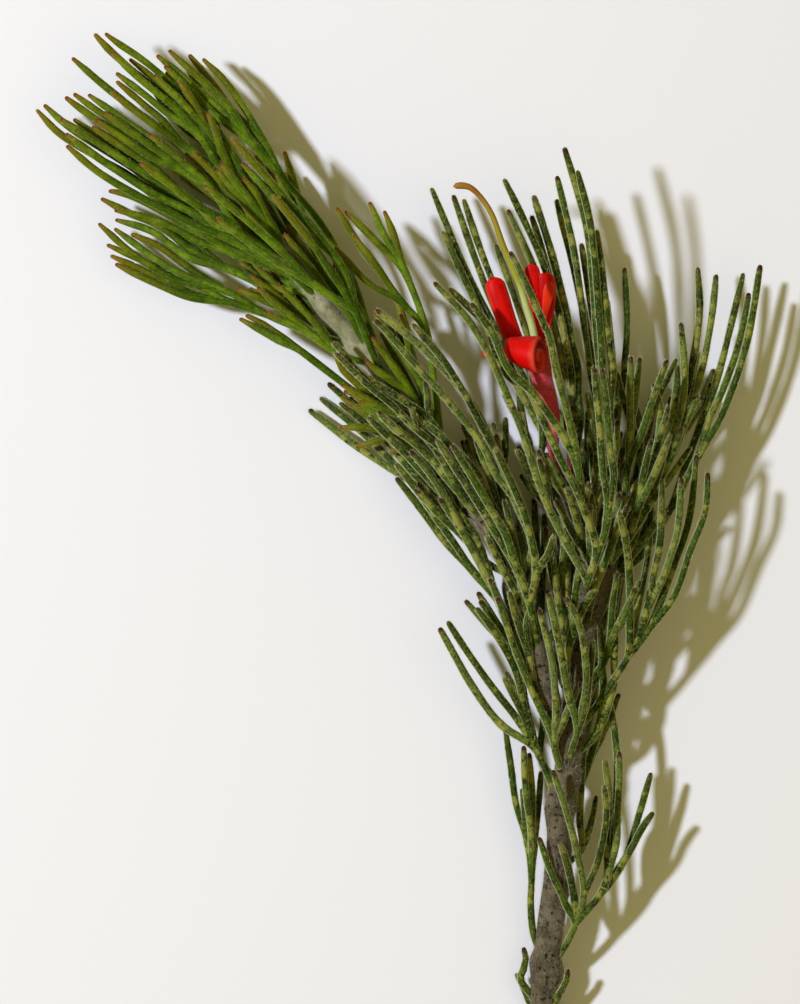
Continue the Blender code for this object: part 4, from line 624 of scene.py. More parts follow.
@dataclass
class SprigPlan:
    """Where every stem and lobe of the sprig runs. The leaves are placed as seen from above, and
    then settle: lobes that would touch move apart, mostly up and down. Lengths in millimetres."""

    stalk_radius: float = 0.62
    lobe_radius: float = 0.53
    tip_length: float = 1.6
    split_share: float = 0.30
    lobe_shares: tuple = (0.52, 0.78)
    split_lobe_shares: tuple = (0.36, 0.7)
    sample_spacing: float = 0.8
    steps: int = 40
    same_node_clearance: float = 1.12
    other_node_clearance: float = 1.85
    solid_clearance: float = 0.55
    reach: float = 3.6
    height_preference: float = 2.5
    resting_share: float = 0.78
    release_length: float = 9.0
    smoothing_samples: int = 9
    golden_angle: float = TAU * 0.381966
    arm_spacing: float = 2.7
    fork_rise_share: float = 0.55
    stalk_shares: tuple = (0.24, 0.16)
    row_fork_share: float = 0.3
    row_stalk_share: float = 0.12
    row_stalk_lift: float = 0.8
    row_lobe_shares: tuple = (0.45, 0.12)
    row_lobe_spacing: float = 2.6
    row_tip_scatter: float = 2.0
    tip_girth: tuple = (0.55, 0.45)
    steps_between_searches: int = 8
    least_freedom: float = 0.02
    same_leaf_freedom: float = 0.5
    same_node_margin: float = 0.1
    parting_lift: float = 0.15
    share_of_gap: float = 0.5
    paths: dict = field(default_factory=dict)
    lobes: list = field(default_factory=list)

    def settle_all(self, flower: list) -> None:
        """Places every stem and lobe.

        Args:
            flower: samples of the flower, each a place, a radius and a name, which the lobes clear.
        """
        for name, axis in AXES.items():
            self.paths[name] = along_route(axis.route, axis.radii, self.sample_spacing)
        stems = [(place, radius, AXES[name].foliage.value)
                 for name, (path, radii) in self.paths.items()
                 for place, radius in zip(path, radii)]
        rows_from = self.place_leaves(OLD_LEAVES + YOUNG_LEAVES, 0)
        rows_end = self.place_rows(LEAF_ROWS, rows_from)
        self.settle(stems + flower)
        self.lobes = [lobe for lobe in self.lobes if lobe.leaf != OPEN_STEM_LEAF]
        self.place_leaves(DEEP_LEAVES, self.place_rows(UNDERGROWTH, rows_end))

    def place_leaves(self, leaves: tuple, number: int) -> int:
        """Places the lobes of leaves with lines of their own.

        Args:
            leaves: the leaves.
            number: the number of the first.

        Returns:
            The next number.
        """
        for leaf in leaves:
            placed = self.placed_leaf(leaf, np.random.default_rng(number))
            self.add_lobes(leaf.axis, number, placed)
            number += 1
        return number

    def place_rows(self, rows: tuple, number: int) -> int:
        """Places the lobes of the leaves in rows.

        Args:
            rows: the rows.
            number: the number of their first leaf.

        Returns:
            The next number.
        """
        for row in rows:
            start, end = row.sides.value
            for k in range(row.count):
                share = row.first + (row.last - row.first) * k / (row.count - 1)
                part_turn = (row.turn + k * self.golden_angle) / TAU % 1.0
                turn = np.pi * (start + (end - start) * part_turn)
                draws = np.random.default_rng(number)
                self.add_lobes(row.axis, number, self.leaf_in_row(row, share, turn, draws))
                number += 1
        return number

    @staticmethod
    def bowed(origin: np.ndarray, axis: np.ndarray, end: np.ndarray, share: float) -> np.ndarray:
        """A place on a lobe that leaves the origin outwards and bends in to run along the axis."""
        along = np.dot(end - origin, axis) * axis
        return origin + share * along + (1.0 - (1.0 - share) ** 2) * (end - origin - along)

    @staticmethod
    def raised(places: list, first: np.ndarray, last: np.ndarray) -> list[np.ndarray]:
        """Gives places between two points their heights, each by its share of the way.

        Args:
            places: the places as seen from above.
            first: the point before them.
            last: the point after them.

        Returns:
            The places in space.
        """
        ways = np.array([first[:2], *places, last[:2]])
        at = lengths_along(ways)
        heights = np.interp(at[1:-1], (0.0, at[-1]), (first[2], last[2]))
        return [np.array((*place, z)) for place, z in zip(places, heights)]

    def placed_leaf(self, leaf: Leaf, draws: np.random.Generator) -> tuple:
        """Places a leaf that shows.

        Args:
            leaf: the leaf as seen from above.
            draws: the leaf's own random draws.

        Returns:
            Its base, the places its stalk passes, its fork, and each arm's split and lobes.
        """
        path = self.paths[leaf.axis][0]
        k = nearest(path[:, :2], np.asarray(leaf.base))
        ahead = unit(path[min(k + 1, len(path) - 1)] - path[max(k - 1, 0)])
        base = path[k]
        mean_rise = float(np.mean([arm.rise for arm in leaf.arms]))
        fork = np.array((*leaf.fork, base[2] + self.fork_rise_share * (mean_rise - base[2])))
        if leaf.stalk:
            stalk = self.raised([np.array(place) for place in leaf.stalk], base, fork)
        else:
            along, aside = self.stalk_shares
            span = np.linalg.norm(fork - base)
            stalk = [base + along * span * ahead + aside * (fork - base)]
        ends = []
        for arm in leaf.arms:
            heights = arm.rise + leaf.depth * draws.uniform(-1.0, 1.0, len(arm.tips))
            ends.append(np.array([(tip[0], tip[1], z) for tip, z in zip(arm.tips, heights)]))
        centre = unit(np.mean([group.mean(axis=0) for group in ends], axis=0) - fork)
        arms = [self.placed_arm(arm, group, fork, centre) for arm, group in zip(leaf.arms, ends)]
        return base, stalk, fork, arms

    def placed_arm(self, arm: Arm, ends: np.ndarray, fork: np.ndarray, centre: np.ndarray) -> tuple:
        """Places one arm of a leaf.

        Args:
            arm: the arm as seen from above.
            ends: the tips of its lobes.
            fork: where it leaves the stalk.
            centre: the way that the whole leaf points.

        Returns:
            Its split and, for each lobe, the places passed and the tip.
        """
        middle = ends.mean(axis=0)
        origin, axis, shares = fork, centre, self.lobe_shares
        split = self.bowed(fork, centre, middle, self.split_share)
        passed = [tip[2:4] for tip in arm.tips if len(tip) > 2]
        if arm.split or passed:
            split[:2] = arm.split or np.mean(passed, axis=0)
            share = np.linalg.norm(split[:2] - fork[:2]) / np.linalg.norm(middle[:2] - fork[:2])
            split[2] = fork[2] + share * (middle[2] - fork[2])
            origin, shares = split, self.split_lobe_shares
            axis = unit(middle - split)
        lobes = []
        for tip, end in zip(arm.tips, ends):
            on_way = [self.bowed(origin, axis, end, share) for share in shares]
            if len(tip) > 2:
                passed = tip[2 if arm.split else 4:]
                places = [np.array(passed[k:k + 2]) for k in range(0, len(passed), 2)]
                on_way = self.raised(places, split, end)
            lobes.append((on_way, end))
        return split, lobes

    def leaf_in_row(self, row: LeafRow, share: float, turn: float,
                    draws: np.random.Generator) -> tuple:
        """Places a leaf by rule.

        Args:
            row: the row that it is in.
            share: how far along the row's axis it leaves.
            turn: the turn round the axis at which it leaves.
            draws: the leaf's own random draws.

        Returns:
            What placed_leaf returns.
        """
        path, radii = self.paths[row.axis]
        length = row.length
        reach, bow = self.row_lobe_shares
        k = int(share * (len(path) - 2))
        ahead = unit(path[k + 1] - path[k])
        side = unit(np.cross(ahead, UP))
        out = np.cos(turn) * side + np.sin(turn) * np.cross(ahead, side)
        fan = np.cross(ahead, out)
        lean = ahead * np.cos(row.spread) + out * np.sin(row.spread)
        base = path[k]
        fork = base + self.row_fork_share * length * lean + radii[k] * out
        stalk = [base + self.row_stalk_share * length * ahead
                 + self.row_stalk_lift * radii[k] * out]
        arms = []
        for slant in row.slants:
            middle = base + length * lean + slant * self.arm_spacing * fan
            split = fork + self.split_share * (middle - fork)
            lobes = []
            for offset in (-0.5, 0.5):
                stray = draws.uniform(-self.row_tip_scatter, self.row_tip_scatter)
                end = middle + offset * self.row_lobe_spacing * out + stray * ahead
                on_way = split + reach * (end - split) + bow * (end - middle)
                lobes.append(([on_way], end))
            arms.append((split, lobes))
        return base, stalk, fork, arms

    def add_lobes(self, axis: str, number: int, placed: tuple) -> None:
        """Adds a placed leaf's lobes. One carries the stalk, and the others start inside it.

        Args:
            axis: the stem that the leaf leaves.
            number: the leaf's number.
            placed: what placed_leaf returns.
        """
        base, stalk, fork, arms = placed
        for k, (split, ends) in enumerate(arms):
            for j, (on_way, end) in enumerate(ends):
                route = smooth_route([base, *stalk, fork, split, *on_way, end], self.sample_spacing)
                start = 0
                if k != len(arms) // 2 or j:
                    start = nearest(route, fork if j == 0 else split)
                at = lengths_along(route)
                free_from = at[nearest(route, split)]
                freedom = eased(np.clip((at - free_from) / self.release_length, 0.0, 1.0))
                on_stalk = at < free_from
                near_tip = np.clip((at[-1] - at) / self.tip_length, 0.0, 1.0)
                radii = np.where(on_stalk, self.stalk_radius, self.lobe_radius)
                radii = radii * (self.tip_girth[0] + self.tip_girth[1] * np.sqrt(near_tip))
                self.lobes.append(Lobe(axis, AXES[axis].foliage, number, route[start:],
                                       freedom[start:], radii[start:], on_stalk[start:],
                                       float(at[start])))

    @staticmethod
    def close_pairs(points: np.ndarray, others: np.ndarray,
                    reach: float) -> tuple[np.ndarray, np.ndarray]:
        """Finds the pairs of a point and another that lie within reach of each other.

        Args:
            points: the points, one a row.
            others: what may lie near them, one a row.
            reach: the distance up to which they count.

        Returns:
            The numbers of the points, and those of the others.
        """
        tree = KDTree(len(others))
        for k, place in enumerate(others):
            tree.insert(place, k)
        tree.balance()
        first, second = [], []
        for k, place in enumerate(points):
            found = [j for _, j, _ in tree.find_range(place, reach)]
            first += [k] * len(found)
            second += found
        return np.array(first), np.array(second)

    def settle(self, solids: list) -> None:
        """Moves the lobes apart where they would touch, and keeps them above the surface.

        Args:
            solids: samples of what stays, each a place, a radius and a node's name.
        """
        lobes = self.lobes
        count = sum(len(lobe.path) for lobe in lobes)
        owner = np.concatenate([np.full(len(lobe.path), k) for k, lobe in enumerate(lobes)])
        leaf = np.array([lobe.leaf for lobe in lobes])[owner]
        node = np.array([lobe.foliage.value for lobe in lobes])[owner]
        freedom = np.concatenate([lobe.freedom for lobe in lobes])
        radii = np.concatenate([lobe.radii for lobe in lobes])
        starts = np.cumsum([0] + [len(lobe.path) for lobe in lobes])
        window = np.hanning(self.smoothing_samples + 2)[1:-1]
        window /= window.sum()
        fixed = np.array([place for place, _, _ in solids])
        all_radii = np.concatenate([radii, [radius for _, radius, _ in solids]])
        all_nodes = np.concatenate([node, [name for _, _, name in solids]])
        points = np.concatenate([lobe.path for lobe in lobes])
        for step in range(self.steps):
            points[:, 2] = np.maximum(points[:, 2], self.resting_share * radii)
            if step % self.steps_between_searches == 0:
                everything = np.concatenate([points, fixed])
                first, second = self.close_pairs(points, everything, self.reach)
                moving = second < count
                other = np.where(moving, second, 0)
                wanted = freedom[first] > self.least_freedom
                wanted &= ~(moving & (owner[first] == owner[other]))
                wanted &= ~(moving & (leaf[first] == leaf[other])
                            & (freedom[first] < self.same_leaf_freedom))
                first, second, moving, other = (x[wanted] for x in (first, second, moving, other))
                alike = node[first] == all_nodes[second]
                clear = np.where(alike, self.same_node_clearance, self.other_node_clearance)
                margin = np.where(alike, self.same_node_margin, self.solid_clearance)
                clear = np.where(moving, clear, radii[first] + all_radii[second] + margin)
                share = freedom[first] / (freedom[first] + freedom[other])
                share = np.where(moving, share, 1.0)
                sign = np.where(owner[first] > owner[other], 1.0, -1.0) * moving
            away = points[first] - np.concatenate([points, fixed])[second]
            gap = np.linalg.norm(away, axis=1)
            touching = gap < clear
            lift = away[touching] * (1.0, 1.0, self.height_preference)
            lift[:, 2] += self.parting_lift * sign[touching]
            size = (clear - gap)[touching] * share[touching] * self.share_of_gap
            lift *= (size / np.linalg.norm(lift, axis=1))[:, None]
            push = np.stack(
                [np.bincount(first[touching], lift[:, k], count) for k in range(3)], axis=1)
            for k in range(len(lobes)):
                part = slice(starts[k], starts[k + 1])
                if np.any(push[part]):
                    for axis in range(3):
                        padded = np.pad(push[part, axis], self.smoothing_samples // 2, mode="edge")
                        points[part, axis] += np.convolve(padded, window, "valid") * freedom[part]
        points[:, 2] = np.maximum(points[:, 2], self.resting_share * radii)
        for k, lobe in enumerate(lobes):
            lobe.path = points[starts[k]:starts[k + 1]]


def linear(hex_colour: str) -> tuple[float, float, float, float]:
    """Turns a colour into the linear values that shaders take.

    Args:
        hex_colour: the colour, written as sRGB hex.

    Returns:
        Its red, green, blue and cover.
    """
    parts = [int(hex_colour[k:k + 2], 16) / 255.0 for k in (1, 3, 5)]
    values = [v / 12.92 if v <= 0.04045 else ((v + 0.055) / 1.055) ** 2.4 for v in parts]
    return (*values, 1.0)


def add_node(tree: bpy.types.NodeTree, kind: str, inputs: dict | None = None,
             **settings: object) -> bpy.types.Node:
    """Adds a node to a tree, with its settings and links.

    Args:
        tree: the tree of a material, the world or a modifier.
        kind: the node's type name.
        inputs: for a socket's name or number, its value or the output that it is linked to.
        settings: the node's properties.

    Returns:
        The new node.
    """
    node = tree.nodes.new(kind)
    for name, value in settings.items():
        setattr(node, name, value)
    for key, value in (inputs or {}).items():
        if isinstance(value, bpy.types.NodeSocket):
            tree.links.new(value, node.inputs[key])
        else:
            node.inputs[key].default_value = value
    return node


@dataclass
class Paint:
    """A material in the making: its shader, and a colour that patterns are laid over one by one.
    Patterns are placed in millimetres in the object's own space, and reads names the mesh's own
    attributes that they follow."""

    name: str
    base: str
    roughness: float
    reads: tuple = ()
    ior: float = 1.45
    specular: float = 0.5
    sheen: float = 0.0
    sheen_roughness: float = 0.4
    sheen_tint: str = "#ffffff"
    subsurface: float = 0.0
    subsurface_scale: float = 0.6

    def __post_init__(self) -> None:
        """Makes the material with its shader and reads what its patterns follow."""
        self.material = bpy.data.materials.new(self.name)
        self.material.use_nodes = True
        self.tree = self.material.node_tree
        self.shader = self.tree.nodes["Principled BSDF"]
        values = {
            "Roughness": self.roughness,
            "IOR": self.ior,
            "Specular IOR Level": self.specular,
            "Sheen Weight": self.sheen,
            "Sheen Roughness": self.sheen_roughness,
            "Sheen Tint": linear(self.sheen_tint),
            "Subsurface Weight": self.subsurface,
            "Subsurface Scale": self.subsurface_scale * MM,
        }
        for name, value in values.items():
            self.shader.inputs[name].default_value = value
        place = add_node(self.tree, "ShaderNodeTexCoord").outputs["Object"]
        self.place = add_node(self.tree, "ShaderNodeVectorMath", {0: place, 1: (1e3, 1e3, 1e3)},
                              operation="MULTIPLY").outputs[0]
        self.read = {
            name: add_node(self.tree, "ShaderNodeAttribute", attribute_name=name).outputs["Fac"]
            for name in self.reads
        }
        self.colour = linear(self.base)

    def fade(self, hex_colour: str, value: bpy.types.NodeSocket, none: float, full: float,
             most: float = 1.0, where: bpy.types.NodeSocket | None = None) -> None:
        """Lays a colour over what is there, softly from where a value is none to where it is full.

        Args:
            hex_colour: the colour.
            value: what it follows.
            none: the value where it starts.
            full: the value where it covers most.
            most: the share that it covers there.
            where: a second share that limits it.
        """
        cover = add_node(self.tree, "ShaderNodeMapRange", {
            "Value": value, "From Min": none, "From Max": full, "To Max": most,
        }, interpolation_type="SMOOTHSTEP").outputs[0]
        if where is not None:
            cover = add_node(self.tree, "ShaderNodeMath", {0: cover, 1: where},
                             operation="MULTIPLY").outputs[0]
        mix = add_node(self.tree, "ShaderNodeMix", {
            0: cover, MIX_A: self.colour, MIX_B: linear(hex_colour),
        }, data_type="RGBA")
        self.colour = mix.outputs[MIX_RESULT]

    def patches(self, hex_colour: str, size: float, none: float, full: float, most: float = 1.0,
                place: bpy.types.NodeSocket | None = None, detail: float = 2.0, seed: float = 0.0,
                relief: float = 0.0) -> bpy.types.NodeSocket:
        """Lays soft patches of a colour over what is there, and may raise the surface with them.

        Args:
            hex_colour: their colour.
            size: the distance between them, in millimetres.
            none: where the random pattern of 0 to 1 begins to show.
            full: where it covers most.
            most: the share that it covers there.
            place: where the pattern is read, or the object's own space.
            detail: how many finer layers it has.
            seed: one for each pattern.
            relief: the height of a full step of the pattern, in millimetres.

        Returns:
            The pattern's value.
        """
        pattern = add_node(self.tree, "ShaderNodeTexNoise", {
            "Vector": place or self.place, "W": seed, "Scale": 1.0 / size, "Detail": detail,
        }, noise_dimensions="4D").outputs["Fac"]
        self.fade(hex_colour, pattern, none, full, most)
        if relief:
            bump = add_node(self.tree, "ShaderNodeBump", {
                "Height": pattern, "Distance": relief * MM, "Strength": 1.0,
            })
            normal = self.shader.inputs["Normal"]
            if normal.is_linked:
                self.tree.links.new(normal.links[0].from_socket, bump.inputs["Normal"])
            self.tree.links.new(bump.outputs[0], normal)
        return pattern

    def drawn_out(self, stretch: float, *across: str) -> bpy.types.NodeSocket:
        """Where to read a pattern that is drawn out along the piece.

        Args:
            stretch: how many times longer it is along the piece than across.
            across: the attributes that it follows across the piece.

        Returns:
            The place.
        """
        along = add_node(self.tree, "ShaderNodeMath", {0: self.read["along"], 1: stretch},
                         operation="DIVIDE").outputs[0]
        parts = [*(self.read[name] for name in across), along]
        return add_node(self.tree, "ShaderNodeCombineXYZ", dict(enumerate(parts))).outputs[0]

    def done(self) -> bpy.types.Material:
        """Links the colour to the shader.

        Returns:
            The finished material.
        """
        if isinstance(self.colour, bpy.types.NodeSocket):
            self.tree.links.new(self.colour, self.shader.inputs["Base Color"])
        else:
            self.shader.inputs["Base Color"].default_value = self.colour
        return self.material


@dataclass(frozen=True)
class LobeFinish:
    """The skin of a leaf lobe: living leaf tissue, matt under a mealy bloom of short hairs that lie
    flat on it. It is pitted with small darker spots. Old lobes bear yellow-green patches across
    the upper face and dead brown spots, and young lobes turn ochre towards their red tips. Each
    turn of colour near a lobe's end has its colour, its length and its cover. Lengths in
    millimetres."""

    name: str
    skin: str
    light: str
    deep: str
    deep_cover: float
    bloom: str
    bloom_cover: float
    pale: str
    pale_from: float
    pale_cover: float
    rust: str
    rust_from: float
    # margin is painted sheen: the lobe's side margins, seen edge on from above, are painted paler
    # where the hairs would shine, over the hairs' own pale colour
    margin: str
    margin_sheen_cover: float
    foot: tuple
    blush: tuple
    ripe: tuple
    tip: tuple
    tip_share: float
    sheen: float
    pit_size: float = 0.3
    bloom_size: float = 0.17
    tone_size: float = 2.2
    patch_length: float = 2.0
    patch_raggedness: float = -0.4
    lobe_shift: float = 61.0
    relief: float = 0.035

    def material(self) -> bpy.types.Material:
        """Makes the material. It reads each lobe's own number, the lengths along it, and how far
        round it a point lies.

        Returns:
            The material.
        """
        paint = Paint(self.name, self.skin, roughness=0.62,
                      reads=("along", "to_tip", "lobe", "edge"), ior=1.42, specular=0.18,
                      sheen=self.sheen, sheen_roughness=0.35, sheen_tint="#cfd4b0", subsurface=0.06)
        tree, read = paint.tree, paint.read
        shift = add_node(tree, "ShaderNodeMath", {0: read["lobe"], 1: self.lobe_shift},
                         operation="MULTIPLY")
        on_lobe = add_node(tree, "ShaderNodeCombineXYZ", {0: read["along"], 1: shift.outputs[0]})
        top = add_node(tree, "ShaderNodeMapRange", {
            "Value": read["edge"], "From Min": 0.95, "From Max": 0.6}).outputs[0]
        paint.patches(self.light, size=self.tone_size, none=0.42, full=0.66, most=0.75, detail=3.0,
                      seed=1.0, relief=2.0 * self.relief)
        paint.fade(self.deep, read["lobe"], none=0.3, full=1.0, most=0.45)
        paint.fade(self.bloom, read["lobe"], none=0.35, full=0.0, most=0.8 * self.bloom_cover)
        pits = paint.patches(self.deep, size=self.pit_size, none=0.5, full=0.68,
                             most=self.deep_cover, detail=3.0, seed=2.0, relief=self.relief)
        band = add_node(tree, "ShaderNodeTexNoise", {
            "Vector": on_lobe.outputs[0], "W": 3.0, "Scale": 1.0 / self.patch_length,
            "Detail": 2.0}, noise_dimensions="4D").outputs["Fac"]
        ragged = add_node(tree, "ShaderNodeMath", {0: pits, 1: self.patch_raggedness, 2: band},
                          operation="MULTIPLY_ADD").outputs[0]
        paint.fade(self.pale, ragged, none=self.pale_from, full=self.pale_from + 0.16,
                   most=self.pale_cover, where=top)
        paint.fade(self.foot[0], read["along"], none=self.foot[1], full=0.0, most=self.foot[2])
        paint.fade(self.blush[0], read["to_tip"], none=self.blush[1], full=0.0, most=self.blush[2],
                   where=read["lobe"])
        paint.fade(self.ripe[0], read["to_tip"], none=self.ripe[1], full=0.0, most=self.ripe[2])
        # Painted sheen: the side margins of each lobe are painted paler, standing in for the shine
        # of the hairs seen edge on, over their own pale colour
        paint.fade(self.margin, read["edge"], none=0.72, full=0.99, most=self.margin_sheen_cover)
        paint.patches(self.bloom, size=self.bloom_size, none=0.52, full=0.7, most=self.bloom_cover,
                      detail=1.0, seed=5.0)
        paint.patches(self.rust, size=0.9, none=self.rust_from, full=self.rust_from + 0.05,
                      most=0.85, detail=2.0, seed=4.0)
        marked = add_node(tree, "ShaderNodeMath", {0: read["lobe"], 1: self.tip_share},
                          operation="LESS_THAN").outputs[0]
        paint.fade(self.tip[0], read["to_tip"], none=self.tip[1], full=0.3 * self.tip[1],
                   most=self.tip[2], where=marked)
        return paint.done()


@dataclass(frozen=True)
class BarkFinish:
    """Young bark under matted wool: dull and fibrous, mottled where the wool has worn off.
    Fibres run along the stem. Lengths in millimetres."""

    name: str
    wool: str
    worn: str
    green: str
    green_cover: float
    dark: str
    dark_from: float
    fibre_width: float = 0.16
    fibre_stretch: float = 7.0

    def material(self) -> bpy.types.Material:
        """Makes the material. It reads the place round and along the stem.

        Returns:
            The material.
        """
        paint = Paint(self.name, self.wool, roughness=0.85, reads=("round_x", "round_y", "along"),
                      sheen=0.35, sheen_roughness=0.5, sheen_tint="#e6e0d4")
        fibres = paint.drawn_out(self.fibre_stretch, "round_x", "round_y")
        paint.patches(self.worn, size=1.7, none=0.44, full=0.62, most=0.8, detail=3.0, seed=2.0,
                      relief=0.12)
        paint.patches(self.green, size=4.5, none=0.4, full=0.6, most=self.green_cover, seed=3.0)
        fibre = paint.patches(self.wool, size=self.fibre_width, none=0.55, full=0.75, most=0.75,
                              place=fibres, detail=3.0, seed=1.0, relief=0.10)
        paint.fade(self.dark, fibre, none=0.42, full=0.28, most=0.7)
        paint.patches(self.dark, size=0.5, none=self.dark_from, full=self.dark_from + 0.04,
                      most=0.95, detail=0.0, seed=4.0)
        return paint.done()


@dataclass(frozen=True)
class DownFinish:
    """Plant hair: a clear, hollow cell, which looks white with a soft shine where many lie
    together."""

    name: str
    colour: str
    shade: str

    def material(self) -> bpy.types.Material:
        """Makes the material. Each hair is a little darker or lighter than the next.

        Returns:
            The material.
        """
        paint = Paint(self.name, self.colour, roughness=0.45, reads=("strand",), ior=1.5)
        paint.fade(self.shade, paint.read["strand"], none=0.3, full=1.0, most=0.8)
        return paint.done()


@dataclass(frozen=True)
class PetalFinish:
    """A living petal: smooth, satin cells over pigment that lets a little light through, with fine
    veins along it and a paler inner face and rim."""

    name: str = "living_petal_scarlet"
    outer: str = "#d20d05"
    deep: str = "#960402"
    inner: str = "#dc3a1a"
    rim: str = "#e0674c"
    vein_width: float = 0.22
    vein_stretch: float = 9.0

    def material(self) -> bpy.types.Material:
        """Makes the material. Veins follow the petal, and its own attributes give the faces.

        Returns:
            The material.
        """
        paint = Paint(self.name, self.outer, roughness=0.5,
                      reads=("across", "along", "inner", "rim"), ior=1.4, specular=0.25,
                      subsurface=0.12, subsurface_scale=0.5)
        paint.patches(self.deep, size=1.8, none=0.48, full=0.72, most=0.5, seed=2.0)
        paint.patches(self.deep, size=self.vein_width, none=0.52, full=0.7, most=0.3,
                      place=paint.drawn_out(self.vein_stretch, "across"), detail=1.0, seed=1.0,
                      relief=0.03)
        paint.fade(self.inner, paint.read["inner"], none=0.3, full=0.8, most=0.9)
        paint.fade(self.rim, paint.read["rim"], none=0.5, full=0.95, most=0.55)
        paint.fade(self.deep, paint.read["along"], none=3.0, full=0.0, most=0.7)
        return paint.done()


@dataclass(frozen=True)
class TubeFinish:
    """The outside of the flower's tube: a duller, pinker petal under a fine white down."""

    name: str = "downy_flower_tube"
    # skin and deep are painted lighter than the tube's own pink: painted light that makes up for
    # the shade that the scroll and lobes cast on the tube
    skin: str = "#e0536a"
    deep: str = "#ac2c3e"
    mouth: str = "#c41a14"
    foot: str = "#84302a"

    def material(self) -> bpy.types.Material:
        """Makes the material. It turns from dull red at the foot to scarlet at the mouth.

        Returns:
            The material.
        """
        paint = Paint(self.name, self.skin, roughness=0.6, reads=("along",), ior=1.4, specular=0.3,
                      sheen=0.3, sheen_roughness=0.4, sheen_tint="#ffc8c8", subsurface=0.08)
        paint.fade(self.foot, paint.read["along"], none=7.0, full=1.0, most=0.8)
        paint.fade(self.mouth, paint.read["along"], none=11.0, full=16.5, most=0.9)
        paint.patches(self.deep, size=0.22, none=0.5, full=0.68, most=0.45, seed=1.0, relief=0.03)
        return paint.done()


@dataclass(frozen=True)
class StyleFinish:
    """The style: a wiry, waxy stalk, pale where it leaves the tube and ochre at its end."""

    name: str = "waxy_style"
    grain: str = "#8a7a20"
    turns: tuple = (("#c8d494", 0.0), ("#bcc884", 7.0), ("#a4a838", 11.0), ("#9e902e", 16.0),
                    ("#9c8630", 20.0), ("#966a2a", 22.5), ("#a07434", 24.0))

    def material(self) -> bpy.types.Material:
        """Makes the material. Its colour turns step by step along the style.

        Returns:
            The material.
        """
        paint = Paint(self.name, self.turns[0][0], roughness=0.45, reads=("along",), ior=1.42,
                      specular=0.3, subsurface=0.1)
        for (_, start), (colour, end) in zip(self.turns, self.turns[1:]):
            paint.fade(colour, paint.read["along"], none=start, full=end)
        paint.patches(self.grain, size=0.3, none=0.55, full=0.75, most=0.3, seed=1.0, relief=0.02)
        return paint.done()


@dataclass(frozen=True)
class BractFinish:
    """A dry bract: thin, papery and dark red, with a browner edge."""

    name: str = "dry_bract"
    face: str = "#5a1512"
    edge: str = "#7a3a22"
    vein_stretch: float = 6.0

    def material(self) -> bpy.types.Material:
        """Makes the material. Veins run along it.

        Returns:
            The material.
        """
        paint = Paint(self.name, self.face, roughness=0.6, reads=("across", "along", "rim"),
                      sheen=0.3, sheen_tint="#e0b0a0")
        paint.patches(self.edge, size=0.15, none=0.5, full=0.7, most=0.6,
                      place=paint.drawn_out(self.vein_stretch, "across"), relief=0.04, seed=1.0)
        paint.fade(self.edge, paint.read["rim"], none=0.6, full=1.0, most=0.7)
        return paint.done()


@dataclass(frozen=True)
class CutFinish:
    """A fresh cut across a woody stem: pale moist wood with rays, round a white pith."""

    name: str = "fresh_cut_wood"
    wood: str = "#c9bd84"
    ray: str = "#a8975a"
    pith: str = "#e4dcc0"
    bark: str = "#6a5436"
    inner_bark: str = "#7d8a3e"

    def material(self) -> bpy.types.Material:
        """Makes the material. It reads how far out from the pith a point lies, from 0 to 1.

        Returns:
            The material.
        """
        paint = Paint(self.name, self.wood, roughness=0.7, reads=("out",), subsurface=0.05)
        out = paint.read["out"]
        paint.patches(self.ray, size=0.12, none=0.5, full=0.7, most=0.6, seed=1.0, relief=0.05)
        paint.fade(self.pith, out, none=0.24, full=0.18)
        paint.fade(self.inner_bark, out, none=0.84, full=0.88, most=0.8)
        paint.fade(self.bark, out, none=0.92, full=0.95)
        return paint.done()


def shown(name: str, data: bpy.types.ID) -> bpy.types.Object:
    """Puts a mesh, a light or a camera in the scene.

    Args:
        name: the object's name.
        data: what it shows.

    Returns:
        The object.
    """
    obj = bpy.data.objects.new(name, data)
    bpy.context.scene.collection.objects.link(obj)
    return obj


def ring_points(place: np.ndarray, ways: tuple, angles: np.ndarray,
                radii: np.ndarray | float) -> list[np.ndarray]:
    """A ring of points round a place on a path.

    Args:
        place: its middle.
        ways: the directions there, as frames_along gives them.
        angles: the turn of each point.
        radii: how far out each lies.

    Returns:
        The points.
    """
    _, across, over = ways
    return [place + r * (np.cos(angle) * across + np.sin(angle) * over)
            for angle, r in zip(angles, np.broadcast_to(radii, angles.shape))]


def tube_faces(first: int, rings: int, sides: int) -> list[tuple]:
    """The faces of a closed tube, with one at each end.

    Args:
        first: the number of its first point.
        rings: how many rings of points it has.
        sides: how many points each ring has.

    Returns:
        The faces, as rows of point numbers.
    """
    faces = []
    for start in range(first, first + (rings - 1) * sides, sides):
        for k in range(sides):
            a, b = start + k, start + (k + 1) % sides
            faces.append((a, b, b + sides, a + sides))
    last = first + (rings - 1) * sides
    return [*faces, tuple(range(first, first + sides))[::-1], tuple(range(last, last + sides))]


def mesh_object(name: str, verts: np.ndarray | list, faces: list, values: dict | None = None,
                material: bpy.types.Material | None = None,
                edges: list | None = None) -> bpy.types.Object:
    """Makes a mesh object.

    Args:
        name: its name.
        verts: its points in millimetres, one a row.
        faces: its faces, as rows of point numbers.
        values: for each attribute's name, a number or a vector for every point.
        material: its finish.
        edges: its loose edges.

    Returns:
        The object, in the scene and smooth.
    """
    mesh = bpy.data.meshes.new(name)
    mesh.from_pydata((np.asarray(verts) * MM).tolist(), edges or [], faces)
    for key, value in (values or {}).items():
        value = np.asarray(value, np.float32)
        kind, part = ("FLOAT_VECTOR", "vector") if value.ndim == 2 else ("FLOAT", "value")
        layer = mesh.attributes.new(key, kind, "POINT")
        layer.data.foreach_set(part, value.ravel())
    if material:
        mesh.materials.append(material)
    mesh.update()
    mesh.shade_smooth()
    return shown(name, mesh)


